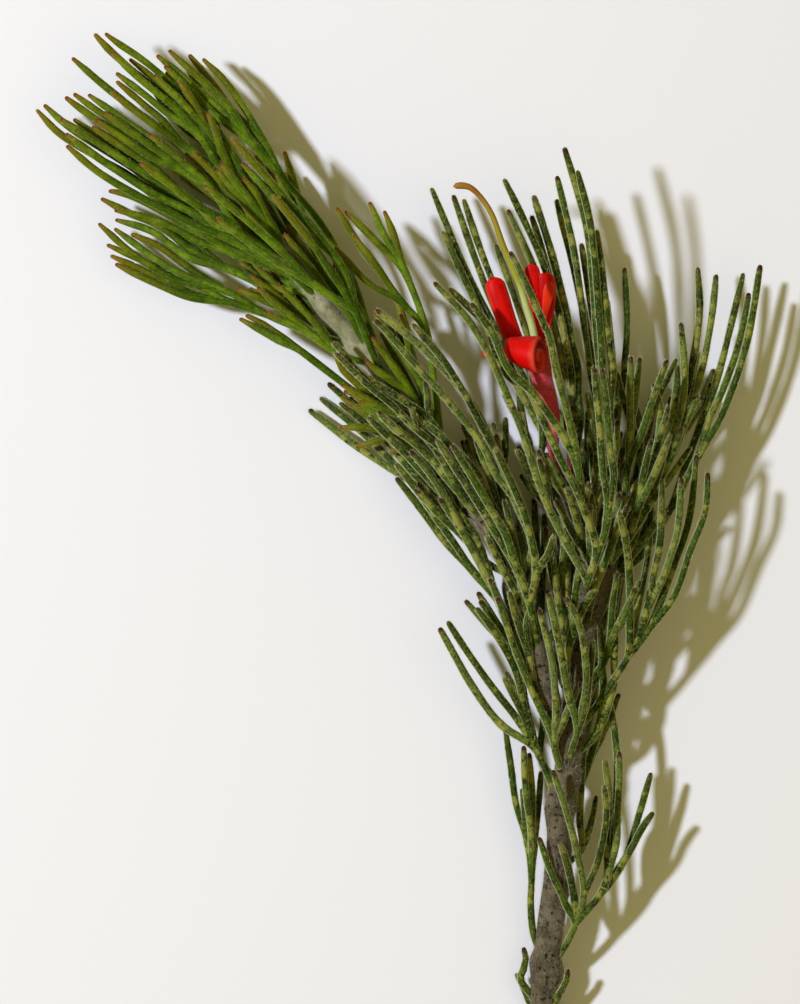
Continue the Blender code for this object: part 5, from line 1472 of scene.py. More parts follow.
def grown(name: str, source: bpy.types.Object, tree: bpy.types.NodeTree,
          settings: dict) -> bpy.types.Object:
    """Runs a geometry tree on an object and keeps the result as a plain mesh.

    Args:
        name: the new object's name.
        source: the object that the tree works on.
        tree: the tree.
        settings: a value for each of the tree's named inputs.

    Returns:
        The new object.
    """
    modifier = source.modifiers.new("growth", "NODES")
    modifier.node_group = tree
    for item in tree.interface.items_tree:
        if item.in_out == "INPUT" and item.name in settings:
            modifier[item.identifier] = settings[item.name]
    graph = bpy.context.evaluated_depsgraph_get()
    evaluated = source.evaluated_get(graph)
    mesh = bpy.data.meshes.new_from_object(evaluated, preserve_all_data_layers=True,
                                           depsgraph=graph)
    source.modifiers.remove(modifier)
    mesh.name = name
    return shown(name, mesh)


def hand_over(piece: bpy.types.Object, slot: Slot, *stands_for: str) -> None:
    """Fixes a finished piece to the frame and reports it.

    Args:
        piece: the piece.
        slot: the record's slot that its finish belongs to; not used.
        stands_for: the frame's nodes that it is shown in place of.
    """
    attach(piece, BODY)
    if stands_for:
        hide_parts(*stands_for)
    piece.data.calc_loop_triangles()
    LOG.info("%s: %d triangles", piece.name, len(piece.data.loop_triangles))


def open_tree(name: str, sockets: dict) -> tuple:
    """Starts a geometry tree with named inputs.

    Args:
        name: the tree's name.
        sockets: for each input's name, its kind of socket.

    Returns:
        The tree, its input node and its output node.
    """
    tree = bpy.data.node_groups.new(name, "GeometryNodeTree")
    tree.interface.new_socket("Geometry", in_out="INPUT", socket_type="NodeSocketGeometry")
    tree.interface.new_socket("Geometry", in_out="OUTPUT", socket_type="NodeSocketGeometry")
    for key, kind in sockets.items():
        tree.interface.new_socket(key, in_out="INPUT", socket_type=kind)
    return tree, add_node(tree, "NodeGroupInput"), add_node(tree, "NodeGroupOutput")


def lobe_tree() -> bpy.types.NodeTree:
    """Makes the tree that gives every edge path a round section, as thick as its girth says. It
    stores how far round towards the side margins each point lies, as edge.

    Returns:
        The tree.
    """
    tree, given, made = open_tree("round_lobes", {
        "Sides": "NodeSocketInt", "Material": "NodeSocketMaterial"})
    curve = add_node(tree, "GeometryNodeMeshToCurve", {"Mesh": given.outputs["Geometry"]})
    upright = add_node(tree, "GeometryNodeSetCurveNormal", {"Curve": curve.outputs[0]},
                       mode="Z_UP")
    ring = add_node(tree, "GeometryNodeCurvePrimitiveCircle", {
        "Resolution": given.outputs["Sides"], "Radius": 1.0})
    place = add_node(tree, "GeometryNodeInputPosition")
    parts = add_node(tree, "ShaderNodeSeparateXYZ", {0: place.outputs[0]})
    side = add_node(tree, "ShaderNodeMath", {0: parts.outputs[0]}, operation="ABSOLUTE")
    marked = add_node(tree, "GeometryNodeStoreNamedAttribute", {
        "Geometry": ring.outputs["Curve"], "Name": "edge", "Value": side.outputs[0]},
        domain="POINT")
    girth = add_node(tree, "GeometryNodeInputNamedAttribute", {"Name": "girth"})
    swept = add_node(tree, "GeometryNodeCurveToMesh", {
        "Curve": upright.outputs[0], "Profile Curve": marked.outputs[0],
        "Scale": girth.outputs[0], "Fill Caps": True})
    smooth = add_node(tree, "GeometryNodeSetShadeSmooth", {"Geometry": swept.outputs[0]})
    real = add_node(tree, "GeometryNodeRealizeInstances", {"Geometry": smooth.outputs[0]})
    add = add_node(tree, "GeometryNodeSetMaterial", {
        "Geometry": real.outputs[0], "Material": given.outputs["Material"]})
    tree.links.new(add.outputs[0], made.inputs[0])
    return tree


def down_tree() -> bpy.types.NodeTree:
    """Makes the tree that grows hairs on a surface. Each is a closed three-sided spike that leans
    ahead along the surface. There are more where fleece is high, and along the side margins.

    Returns:
        The tree.
    """
    tree, given, made = open_tree("down", {
        "Density": "NodeSocketFloat", "Length": "NodeSocketFloat", "Width": "NodeSocketFloat",
        "Rise": "NodeSocketFloat", "Scatter": "NodeSocketFloat", "Curl": "NodeSocketFloat",
        "Margin Gain": "NodeSocketFloat", "Seed": "NodeSocketInt",
        "Material": "NodeSocketMaterial"})
    get = given.outputs
    fleece = add_node(tree, "GeometryNodeInputNamedAttribute", {"Name": "fleece"}).outputs[0]
    edge = add_node(tree, "GeometryNodeInputNamedAttribute", {"Name": "edge"}).outputs[0]
    far = add_node(tree, "ShaderNodeMath", {0: edge, 1: MARGIN_POWER},
                   operation="POWER").outputs[0]
    gain = add_node(tree, "ShaderNodeMath", {0: far, 1: get["Margin Gain"], 2: 1.0},
                    operation="MULTIPLY_ADD").outputs[0]
    thick = add_node(tree, "ShaderNodeMath", {0: fleece, 1: gain}, operation="MULTIPLY").outputs[0]
    thick = add_node(tree, "ShaderNodeMath", {0: thick, 1: get["Density"]},
                     operation="MULTIPLY").outputs[0]
    roots = add_node(tree, "GeometryNodeDistributePointsOnFaces", {
        "Mesh": get["Geometry"], "Density": thick, "Seed": get["Seed"]})
    ahead = add_node(tree, "GeometryNodeInputNamedAttribute", {"Name": "ahead"},
                     data_type="FLOAT_VECTOR").outputs[0]
    up = add_node(tree, "ShaderNodeVectorMath", {0: roots.outputs["Normal"], "Scale": get["Rise"]},
                  operation="SCALE").outputs[0]
    stray = add_node(tree, "FunctionNodeRandomValue", {
        0: (-1.0, -1.0, -1.0), 1: (1.0, 1.0, 1.0), "Seed": 11}, data_type="FLOAT_VECTOR")
    stray = add_node(tree, "ShaderNodeVectorMath", {0: stray.outputs[0], "Scale": get["Scatter"]},
                     operation="SCALE").outputs[0]
    lean = add_node(tree, "ShaderNodeVectorMath", {0: up, 1: ahead}, operation="ADD").outputs[0]
    way = add_node(tree, "ShaderNodeVectorMath", {0: lean, 1: stray}, operation="ADD").outputs[0]
    roll = add_node(tree, "FunctionNodeRandomValue", {
        0: (0.0, 0.0, 0.0), 1: (0.0, 0.0, TAU), "Seed": 12}, data_type="FLOAT_VECTOR")
    roll = add_node(tree, "FunctionNodeEulerToRotation", {0: roll.outputs[0]})
    turn = add_node(tree, "FunctionNodeAlignRotationToVector", {
        "Rotation": roll.outputs[0], "Vector": way}, axis="Z")
    half = add_node(tree, "ShaderNodeMath", {0: get["Width"], 1: 0.5}, operation="MULTIPLY")
    spike = add_node(tree, "GeometryNodeMeshCone", {
        "Vertices": 3, "Radius Bottom": half.outputs[0],
        "Depth": get["Length"]}, fill_type="NGON")
    place = add_node(tree, "GeometryNodeInputPosition")
    parts = add_node(tree, "ShaderNodeSeparateXYZ", {0: place.outputs[0]})
    height = add_node(tree, "ShaderNodeMath", {0: parts.outputs[2], 1: get["Length"]},
                      operation="DIVIDE").outputs[0]
    square = add_node(tree, "ShaderNodeMath", {0: height, 1: 2.0}, operation="POWER").outputs[0]
    sway = add_node(tree, "ShaderNodeMath", {0: square, 1: get["Length"]},
                    operation="MULTIPLY").outputs[0]
    sway = add_node(tree, "ShaderNodeMath", {0: sway, 1: get["Curl"]},
                    operation="MULTIPLY").outputs[0]
    sunk = add_node(tree, "ShaderNodeMath", {0: get["Width"], 1: -1.0},
                    operation="MULTIPLY").outputs[0]
    offset = add_node(tree, "ShaderNodeCombineXYZ", {0: sway, 2: sunk})
    bent = add_node(tree, "GeometryNodeSetPosition", {
        "Geometry": spike.outputs["Mesh"], "Offset": offset.outputs[0]})
    size = add_node(tree, "FunctionNodeRandomValue", {
        2: HAIR_SIZES[0], 3: HAIR_SIZES[1], "Seed": 13}, data_type="FLOAT")
    hairs = add_node(tree, "GeometryNodeInstanceOnPoints", {
        "Points": roots.outputs["Points"], "Instance": bent.outputs[0],
        "Rotation": turn.outputs[0], "Scale": size.outputs[1]})
    strand = add_node(tree, "FunctionNodeRandomValue", {2: 0.0, 3: 1.0, "Seed": 14},
                      data_type="FLOAT")
    named = add_node(tree, "GeometryNodeStoreNamedAttribute", {
        "Geometry": hairs.outputs[0], "Name": "strand", "Value": strand.outputs[1]},
        domain="INSTANCE")
    real = add_node(tree, "GeometryNodeRealizeInstances", {"Geometry": named.outputs[0]})
    add = add_node(tree, "GeometryNodeSetMaterial", {
        "Geometry": real.outputs[0], "Material": get["Material"]})
    tree.links.new(add.outputs[0], made.inputs[0])
    return tree


@dataclass
class Down:
    """The hairs on one surface: how many to a square millimetre where fleece is 1, and their form.
    Real hairs are about 0.01 mm thick, too fine to show, so these are thicker and fewer. Lengths
    in millimetres."""

    name: str
    slot: Slot
    density: float
    length: float
    width: float = 0.035
    rise: float = 0.35
    scatter: float = 0.25
    curl: float = 0.0
    margin_gain: float = 0.0
    seed: int = 1

    def grow(self, surface: bpy.types.Object, tree: bpy.types.NodeTree,
             material: bpy.types.Material) -> bpy.types.Object:
        """Grows the hairs as a piece of their own.

        Args:
            surface: the piece that they grow on.
            tree: the tree that grows them.
            material: their finish.

        Returns:
            The piece.
        """
        piece = grown(self.name, surface, tree, {
            "Density": self.density / MM**2,
            "Length": self.length * MM,
            "Width": self.width * MM,
            "Rise": self.rise,
            "Scatter": self.scatter,
            "Curl": self.curl,
            "Margin Gain": self.margin_gain,
            "Seed": self.seed,
            "Material": material,
        })
        hand_over(piece, self.slot)
        return piece


class Tip(Enum):
    """How a lobe ends: its share of the full radius at distances from the very tip."""

    BLUNT = ((0.0, 0.1), (0.04, 0.32), (0.13, 0.54), (0.3, 0.68), (0.6, 0.78), (1.5, 0.9),
             (3.0, 1.0))
    KNOBBED = ((0.0, 0.1), (0.04, 0.3), (0.12, 0.46), (0.28, 0.58), (0.5, 0.62), (0.9, 0.7),
               (2.4, 1.0))


@dataclass
class LeafSpray:
    """The leaves of one stem: every lobe is a round path whose girth swells at the stalk and the
    forks and ends in a tip. Lengths in millimetres."""

    name: str
    axis: str
    slot: Slot
    tip: Tip
    radius: float = 0.45
    fork_swelling: float = 0.16
    fork_reach: float = 1.1
    sides: int = 10
    spacing: float = 0.8
    swelling: float = 0.05
    tip_fleece: float = 2.5
    tip_fleece_length: float = 1.4
    first_draws: int = 1000
    wave_rates: tuple = (0.5, 0.9)
    girth_scatter: tuple = (0.94, 1.08)

    def build(self, plan: SprigPlan, tree: bpy.types.NodeTree,
              material: bpy.types.Material) -> bpy.types.Object:
        """Builds the leaves as one piece.

        Args:
            plan: the settled plan.
            tree: the tree that rounds the lobes.
            material: their finish.

        Returns:
            The piece.
        """
        verts, edges = [], []
        values = {key: [] for key in ("girth", "along", "to_tip", "lobe", "ahead", "fleece")}
        for number, lobe in enumerate(plan.lobes):
            if lobe.axis != self.axis:
                continue
            draws = np.random.default_rng(self.first_draws + number)
            path, found = self.shaped(lobe, draws)
            first = len(verts)
            verts += list(path)
            edges += [(k, k + 1) for k in range(first, first + len(path) - 1)]
            for key, value in found.items():
                values[key] += list(value)
        skeleton = mesh_object("skeleton", verts, [], values, edges=edges)
        piece = grown(self.name, skeleton, tree, {"Sides": self.sides, "Material": material})
        bpy.data.objects.remove(skeleton)
        return piece

    def shaped(self, lobe: Lobe, draws: np.random.Generator) -> tuple:
        """Samples one lobe and gives each sample its values.

        Args:
            lobe: the settled lobe.
            draws: the lobe's own random draws.

        Returns:
            The points and a dict of their values.
        """
        at = lengths_along(lobe.path)
        total = at[-1]
        marks = total - np.array([back for back, _ in self.tip.value])
        until = marks[marks > 0.0].min()
        count = max(3, int(round(until / self.spacing)) + 1)
        places = np.unique(np.concatenate([np.linspace(0.0, until, count), marks[marks > 0.0]]))
        path = points_at(lobe.path, places)
        ahead = ways_along(path)
        to_tip = total - places
        split = at[np.argmin(lobe.stalk)] if lobe.stalk.any() else 0.0
        from_fork = (places - split) / self.fork_reach
        girth = self.radius * (1.0 + self.fork_swelling * np.exp(-from_fork**2))
        wave, phase = draws.uniform(*self.wave_rates), draws.uniform(0.0, TAU)
        girth = girth * draws.uniform(*self.girth_scatter)
        girth *= 1.0 + self.swelling * np.sin(wave * places + phase)
        backs, shares = zip(*self.tip.value)
        girth *= np.interp(to_tip, backs, shares)
        path[:, 2] = np.maximum(path[:, 2], girth)
        near_tip = np.clip(1.0 - to_tip / self.tip_fleece_length, 0.0, 1.0)
        return path, {
            "girth": girth * MM,
            "along": places + lobe.offset,
            "to_tip": to_tip,
            "lobe": np.full(len(places), draws.uniform()),
            "ahead": ahead,
            "fleece": 1.0 + self.tip_fleece * near_tip,
        }


@dataclass
class Stem:
    """One or more stems as a single piece of bark, with low ridges along it and a swelling below
    each leaf. A ridge wave has its count round the stem, its twist, its height and how far it is
    turned from one stem to the next. Lengths in millimetres."""

    name: str
    axes: tuple
    slot: Slot
    sides: int = 30
    spacing: float = 0.5
    ridge: float = 0.05
    ridge_waves: tuple = ((3, 0.22, 1.0, 1), (5, -0.31, 0.6, 0), (8, 0.9, 0.5, 0))
    end_share: float = 0.97
    knob: float = 0.5
    knob_length: float = 2.4
    knob_breadth: float = 0.75
    knob_front: float = 2.4
    knob_offset: float = 0.8
    knob_least_radius: float = 0.45
    knob_samples: int = 4
    pattern_shift: float = 10.0
    cut_start: bool = False
    fleece: float = 1.0

    def build(self, plan: SprigPlan, material: bpy.types.Material) -> bpy.types.Object:
        """Builds the bark.

        Args:
            plan: the settled plan.
            material: its finish.

        Returns:
            The piece.
        """
        verts, faces = [], []
        values = {key: [] for key in ("along", "round_x", "round_y", "ahead", "fleece")}
        for number, name in enumerate(self.axes):
            self.add_axis(plan, name, number, verts, faces, values)
        return mesh_object(self.name, verts, faces, values, material)

    def add_axis(self, plan: SprigPlan, name: str, number: int, verts: list, faces: list,
                 values: dict) -> None:
        """Adds one stem to the lists.

        Args:
            plan: the settled plan.
            name: the stem's name.
            number: its number on this piece.
            verts: the points so far.
            faces: the faces so far.
            values: the points' values so far.
        """
        path, radii = along_route(AXES[name].route, AXES[name].radii, self.spacing)
        at = lengths_along(path)
        radii = radii * self.end_taper(at, radii, number)
        frames = frames_along(path)
        knobs = self.knobs(plan, name, path, frames)
        angles = TAU * np.arange(self.sides) / self.sides
        first = len(verts)
        for place, s, radius, ways in zip(path, at, radii, frames):
            ridges = sum(height * np.sin(count * angles + twist * s + turn * number)
                         for count, twist, height, turn in self.ridge_waves)
            around = radius * (1.0 + self.ridge * ridges)
            for from_start, angle in knobs:
                turn = (angles - angle + np.pi) % TAU - np.pi
                reach = np.exp(-(turn / self.knob_breadth) ** 2)
                behind = (s - from_start) / self.knob_length
                behind = behind * (1.0 if behind < 0.0 else self.knob_front)
                around = around + self.knob * reach * np.exp(-behind**2) * (
                    radius > self.knob_least_radius)
            for point in ring_points(place, ways, angles, around):
                point[2] = max(point[2], 0.0)
                verts.append(point)
            values["round_x"] += list(around * np.cos(angles))
            values["round_y"] += list(around * np.sin(angles) + self.pattern_shift * number)
            for key, value in (("along", s), ("ahead", ways[0]), ("fleece", self.fleece)):
                values[key] += [value] * self.sides
        faces += tube_faces(first, len(path), self.sides)

    def end_taper(self, at: np.ndarray, radii: np.ndarray, number: int) -> np.ndarray:
        """Rounds off a stem's ends, apart from one that is cut.

        Args:
            at: how far along the stem each point lies.
            radii: its radius there.
            number: its number on this piece.

        Returns:
            The share of the radius that is left at each point.
        """
        share = np.ones(len(at))
        ends = [at[-1] - at] if self.cut_start and number == 0 else [at, at[-1] - at]
        for back in ends:
            near = np.clip(1.0 - back / radii, 0.0, self.end_share)
            share = np.minimum(share, np.sqrt(1.0 - near**2))
        return share

    def knobs(self, plan: SprigPlan, name: str, path: np.ndarray, frames: list) -> list[tuple]:
        """Finds where the leaves of a stem leave it.

        Args:
            plan: the settled plan.
            name: the stem's name.
            path: the stem's middle.
            frames: the directions at each of its points.

        Returns:
            For each leaf, how far along the stem it leaves and at what turn.
        """
        at = lengths_along(path)
        found, seen = [], set()
        for lobe in plan.lobes:
            if lobe.axis != name or lobe.leaf in seen or lobe.offset > 0.0:
                continue
            seen.add(lobe.leaf)
            k = nearest(path, lobe.path[0])
            out = lobe.path[min(self.knob_samples, len(lobe.path) - 1)] - path[k]
            _, across, over = frames[k]
            turn = float(np.arctan2(np.dot(out, over), np.dot(out, across)))
            found.append((at[k] + self.knob_offset, turn))
        return found


@dataclass
class CutFace:
    """The fresh cut across the stem's foot: a shallow disc that stands a little proud of the bark,
    with a sunk pith. Lengths in millimetres."""

    name: str = "cut_face"
    radius: float = 1.72
    depth: float = 0.9
    proud: float = 0.06
    pith: float = 0.4
    pith_depth: float = 0.12
    rim_share: float = 0.1
    rim_depth: float = 0.25
    tooth_count: int = 17
    tooth_height: float = 0.02
    rings: int = 12
    sides: int = 48

    def build(self, plan: SprigPlan, material: bpy.types.Material) -> bpy.types.Object:
        """Builds the disc at the start of the main stem.

        Args:
            plan: the settled plan.
            material: its finish.

        Returns:
            The piece.
        """
        path, _ = plan.paths["stem"]
        ways = frames_along(path)[0]
        ahead = ways[0]
        middle = path[0] - self.proud * ahead
        angles = TAU * np.arange(self.sides) / self.sides
        verts, out = [], []
        for share in np.arange(self.rings + 1) / self.rings:
            dip = self.pith_depth * np.exp(-(share * self.radius / self.pith) ** 2)
            edge = self.rim_depth * max(0.0, share - 1.0 + self.rim_share) / self.rim_share
            teeth = self.tooth_height * np.sin(self.tooth_count * angles) * share
            points = ring_points(middle, ways, angles, share * self.radius)
            verts += [point + (dip + edge + tooth) * ahead for point, tooth in zip(points, teeth)]
            out += [share] * self.sides
        verts += [point + self.depth * ahead for point in verts[-self.sides:]]
        out += [1.0] * self.sides
        verts = np.array(verts)
        verts[:, 2] = np.maximum(verts[:, 2], 0.0)
        faces = tube_faces(0, self.rings + 2, self.sides)
        piece = mesh_object(self.name, verts, faces, {"out": out}, material)
        weld(piece)
        return piece


def weld(piece: bpy.types.Object) -> None:
    """Merges points that lie at one place, such as those at a pole, and turns faces outwards.

    Args:
        piece: the piece that is changed.
    """
    shape = bmesh.new()
    shape.from_mesh(piece.data)
    bmesh.ops.remove_doubles(shape, verts=shape.verts, dist=WELD_DISTANCE)
    bmesh.ops.recalc_face_normals(shape, faces=shape.faces)
    shape.to_mesh(piece.data)
    shape.free()


@dataclass
class Straps:
    """Closed straps gathered in one mesh. Each face of a strap is an arc, and they meet at thin
    round margins. Lengths in millimetres."""

    across: int = 14
    margin_power: int = 6
    least_curl: float = 0.01
    verts: list = field(default_factory=list)
    faces: list = field(default_factory=list)
    values: dict = field(default_factory=lambda: {
        key: [] for key in ("across", "along", "inner", "rim")})

    def add(self, route: np.ndarray, widths: np.ndarray, facing: np.ndarray, curl: float,
            thickness: float, shows_inner: float = 0.0) -> None:
        """Adds a strap.

        Args:
            route: the places along its middle.
            widths: its width at each.
            facing: the way that its upper side faces at each.
            curl: the angle that its cross-section bends through.
            thickness: its thickness at the middle.
            shows_inner: 1 where the upper side is the inner face, else 0.
        """
        at = lengths_along(route)
        half = self.across
        curl = max(curl, self.least_curl)
        shares = np.linspace(-1.0, 1.0, half)
        rounding = np.maximum(1.0 - np.abs(shares) ** self.margin_power, 0.0)
        thick = thickness * np.sqrt(rounding) * 0.5
        first = len(self.verts)
        ahead = np.gradient(route, axis=0)
        for place, s, along, width, face in zip(route, at, ahead, widths, facing):
            along = unit(along)
            out = unit(face - np.dot(face, along) * along)
            side = np.cross(along, out)
            bend = width / curl
            for lift, order in ((1.0, range(half)), (-1.0, range(half - 2, 0, -1))):
                for k in order:
                    angle = 0.5 * shares[k] * curl
                    normal = np.cos(angle) * out + np.sin(angle) * side
                    height = bend + lift * thick[k]
                    self.verts.append(place - bend * out + height * normal)
                    self.values["across"].append(0.5 * shares[k] * width)
                    self.values["along"].append(s)
                    self.values["inner"].append(shows_inner if lift > 0 else 1.0 - shows_inner)
                    self.values["rim"].append(abs(shares[k]))
        self.faces += tube_faces(first, len(route), 2 * half - 2)


@dataclass
class Flower:
    """The flower: a downy tube that opens in tepals, one of them rolled back in a scroll. Lengths
    in millimetres."""

    thickness: float = 0.34
    tube_sides: int = 32
    tube_wall: float = 0.24
    tube_lobes: int = 4
    tube_lobing: float = 0.05
    lobing_length: float = 3.0
    foot_rounding: float = 0.5
    foot_least: float = 0.05
    tube_spacing: float = 0.25
    mouth_depth: float = 3.2
    tip_rounding: float = 0.9
    tip_width: tuple = (0.25, 0.75)
    tepal_spacing: float = 0.3
    scroll_places: int = 90
    scroll_inner_angle: float = 150.0
    scroll_curl: float = 0.25
    sample_radius: float = 0.6
    sample_places: int = 15
    tepal_samples: tuple = (-0.3, 0.0, 0.3)
    tepal_droop: float = 0.3
    scroll_samples: tuple = (-0.4, -0.2, 0.0, 0.2, 0.4)
    style_sides: int = 16
    style_spacing: float = 0.3
    style_rounding: float = 0.4
    style_least_share: float = 0.15
    bract_spacing: float = 0.2
    bract_across: int = 10
    bract_point: float = 4.0
    bract_least: float = 0.12
    bract_taper: float = 0.7
    bract_curl: float = 2.2
    bract_thickness: float = 0.3

    def samples(self, spacing: float) -> list:
        """The flower as samples that the lobes keep clear of.

        Args:
            spacing: the distance between them.

        Returns:
            For each, its place, its radius and the name of the frame's node.
        """
        found = []
        rods = (("perianth", TUBE_ROUTE, TUBE_RADII), ("style", STYLE_ROUTE, STYLE_RADII),
                ("flower_bud", BUD_ROUTE, BUD_RADII))
        for name, route, radii in rods:
            places = along_route(route, radii, spacing)
            found += [(place, radius, name) for place, radius in zip(*places)]
        for tepal in TEPALS:
            for place, width in zip(*along_route(tepal.route, tepal.widths, spacing)):
                for share in self.tepal_samples:
                    aside = (share * width, 0.0, -self.tepal_droop * abs(share))
                    found.append((place + aside, self.sample_radius, "perianth"))
        for place, width in zip(*self.scroll(self.sample_places, 0.0)[:2]):
            for share in self.scroll_samples:
                place_aside = self.coned(place + (share * width, 0.0, 0.0))
                found.append((place_aside, self.sample_radius, "perianth"))
        return found

    def build_tepals(self, material: bpy.types.Material) -> bpy.types.Object:
        """Builds the tepals with the scroll.

        Args:
            material: their finish.

        Returns:
            The piece.
        """
        straps = Straps()
        for tepal in (*TEPALS, *SMALL_TEPALS):
            route, widths = along_route(tepal.route, tepal.widths, self.tepal_spacing)
            at = lengths_along(route)
            least, more = self.tip_width
            widths = widths * (least + more * rounded_end(at, self.tip_rounding))
            facing = np.tile(UP, (len(route), 1))
            straps.add(route, widths, facing, tepal.curl, self.thickness, tepal.shows_inner)
        first = len(straps.verts)
        straps.add(*self.scroll(self.scroll_places, self.scroll_inner_angle), self.scroll_curl,
                   self.thickness)
        straps.verts[first:] = [self.coned(place) for place in straps.verts[first:]]
        return mesh_object("tepals", straps.verts, straps.faces, straps.values, material)

    @staticmethod
    def coned(place: np.ndarray) -> np.ndarray:
        """Moves a place on the straight roll to the cone, which widens to its open right end. That
        end is turned up a little.

        Args:
            place: the place on the roll.

        Returns:
            The place on the cone.
        """
        aside = place[0] - SCROLL_CENTRE[0]
        widened = (1.0 + SCROLL_WIDENING * aside) * (place[1:] - SCROLL_CENTRE[1:])
        y, z = SCROLL_CENTRE[1:] + widened + aside * np.array(SCROLL_LEAN)
        return np.array((place[0] - SCROLL_TILT * widened[1], y, z))

    @staticmethod
    def scroll(count: int, extra_turn: float) -> tuple:
        """The tepal that is rolled back on itself, as a straight roll.

        Args:
            count: how many places it is given at.
            extra_turn: how many degrees further in it is rolled than in the frame.

        Returns:
            Its places, its widths and the directions that it faces.
        """
        turns = np.radians(np.linspace(SCROLL_ANGLES[0], SCROLL_ANGLES[1] + extra_turn, count))
        part = (turns - turns[0]) / np.radians(SCROLL_ANGLES[1] - SCROLL_ANGLES[0])
        radii = SCROLL_RADII[0] + part * (SCROLL_RADII[1] - SCROLL_RADII[0])
        share = eased(np.clip((turns - turns[0]) / np.radians(SCROLL_SPREAD_ANGLE), 0.0, 1.0))
        out = np.stack([np.zeros(len(turns)), np.cos(turns), np.sin(turns)], axis=1)
        route = np.array(SCROLL_CENTRE) + radii[:, None] * out
        route[:, 0] = SCROLL_ROOT_X + share * (SCROLL_CENTRE[0] - SCROLL_ROOT_X)
        widths = SCROLL_WIDTHS[0] + share * (SCROLL_WIDTHS[1] - SCROLL_WIDTHS[0])
        return route, widths, out

    def build_tube(self, material: bpy.types.Material) -> bpy.types.Object:
        """Builds the tube with its open mouth.

        Args:
            material: its finish.

        Returns:
            The piece.
        """
        path, radii = along_route(TUBE_ROUTE, TUBE_RADII, self.tube_spacing)
        at = lengths_along(path)
        frames = frames_along(path)
        rings = [(k, radii[k], 0.0) for k in range(len(path))]
        back = [k for k in range(len(path) - 1, 0, -1) if at[-1] - at[k] <= self.mouth_depth]
        rings += [(k, radii[k] - self.tube_wall, 1.0) for k in back]
        verts = []
        values = {key: [] for key in ("along", "ahead", "fleece")}
        angles = TAU * np.arange(self.tube_sides) / self.tube_sides
        for k, radius, inside in rings:
            share = min(1.0, at[k] / self.lobing_length)
            lobing = 1.0 + self.tube_lobing * np.cos(self.tube_lobes * angles) * share
            foot = np.sqrt(np.clip(at[k] / self.foot_rounding, self.foot_least, 1.0))
            verts += ring_points(path[k], frames[k], angles, radius * lobing * foot)
            for key, value in (("along", at[k]), ("ahead", frames[k][0]),
                               ("fleece", 1.0 - inside)):
                values[key] += [value] * self.tube_sides
        faces = tube_faces(0, len(rings), self.tube_sides)
        return mesh_object("flower_tube", verts, faces, values, material)

    def build_style(self, material: bpy.types.Material) -> bpy.types.Object:
        """Builds the style, with its swollen end.

        Args:
            material: its finish.

        Returns:
            The piece.
        """
        path, radii = along_route(STYLE_ROUTE, STYLE_RADII, self.style_spacing)
        at = lengths_along(path)
        radii = radii * np.maximum(rounded_end(at, self.style_rounding), self.style_least_share)
        angles = TAU * np.arange(self.style_sides) / self.style_sides
        verts, along = [], []
        for place, ways, radius, s in zip(path, frames_along(path), radii, at):
            verts += ring_points(place, ways, angles, radius)
            along += [s] * self.style_sides
        faces = tube_faces(0, len(path), self.style_sides)
        return mesh_object("style_stalk", verts, faces, {"along": along}, material)

    def build_bract(self, material: bpy.types.Material) -> bpy.types.Object:
        """Builds the dry bract beside the tube, a narrow keeled strap that ends in a point.

        Args:
            material: its finish.

        Returns:
            The piece.
        """
        path, radii = along_route(BUD_ROUTE, BUD_RADII, self.bract_spacing)
        share = lengths_along(path) / lengths_along(path)[-1]
        point = np.clip(self.bract_point * (1.0 - share), self.bract_least, 1.0)
        widths = 2.0 * radii * point ** self.bract_taper
        straps = Straps(across=self.bract_across)
        straps.add(path, widths, np.tile(UP, (len(path), 1)), self.bract_curl,
                   self.bract_thickness)
        return mesh_object("bract", straps.verts, straps.faces, straps.values, material)


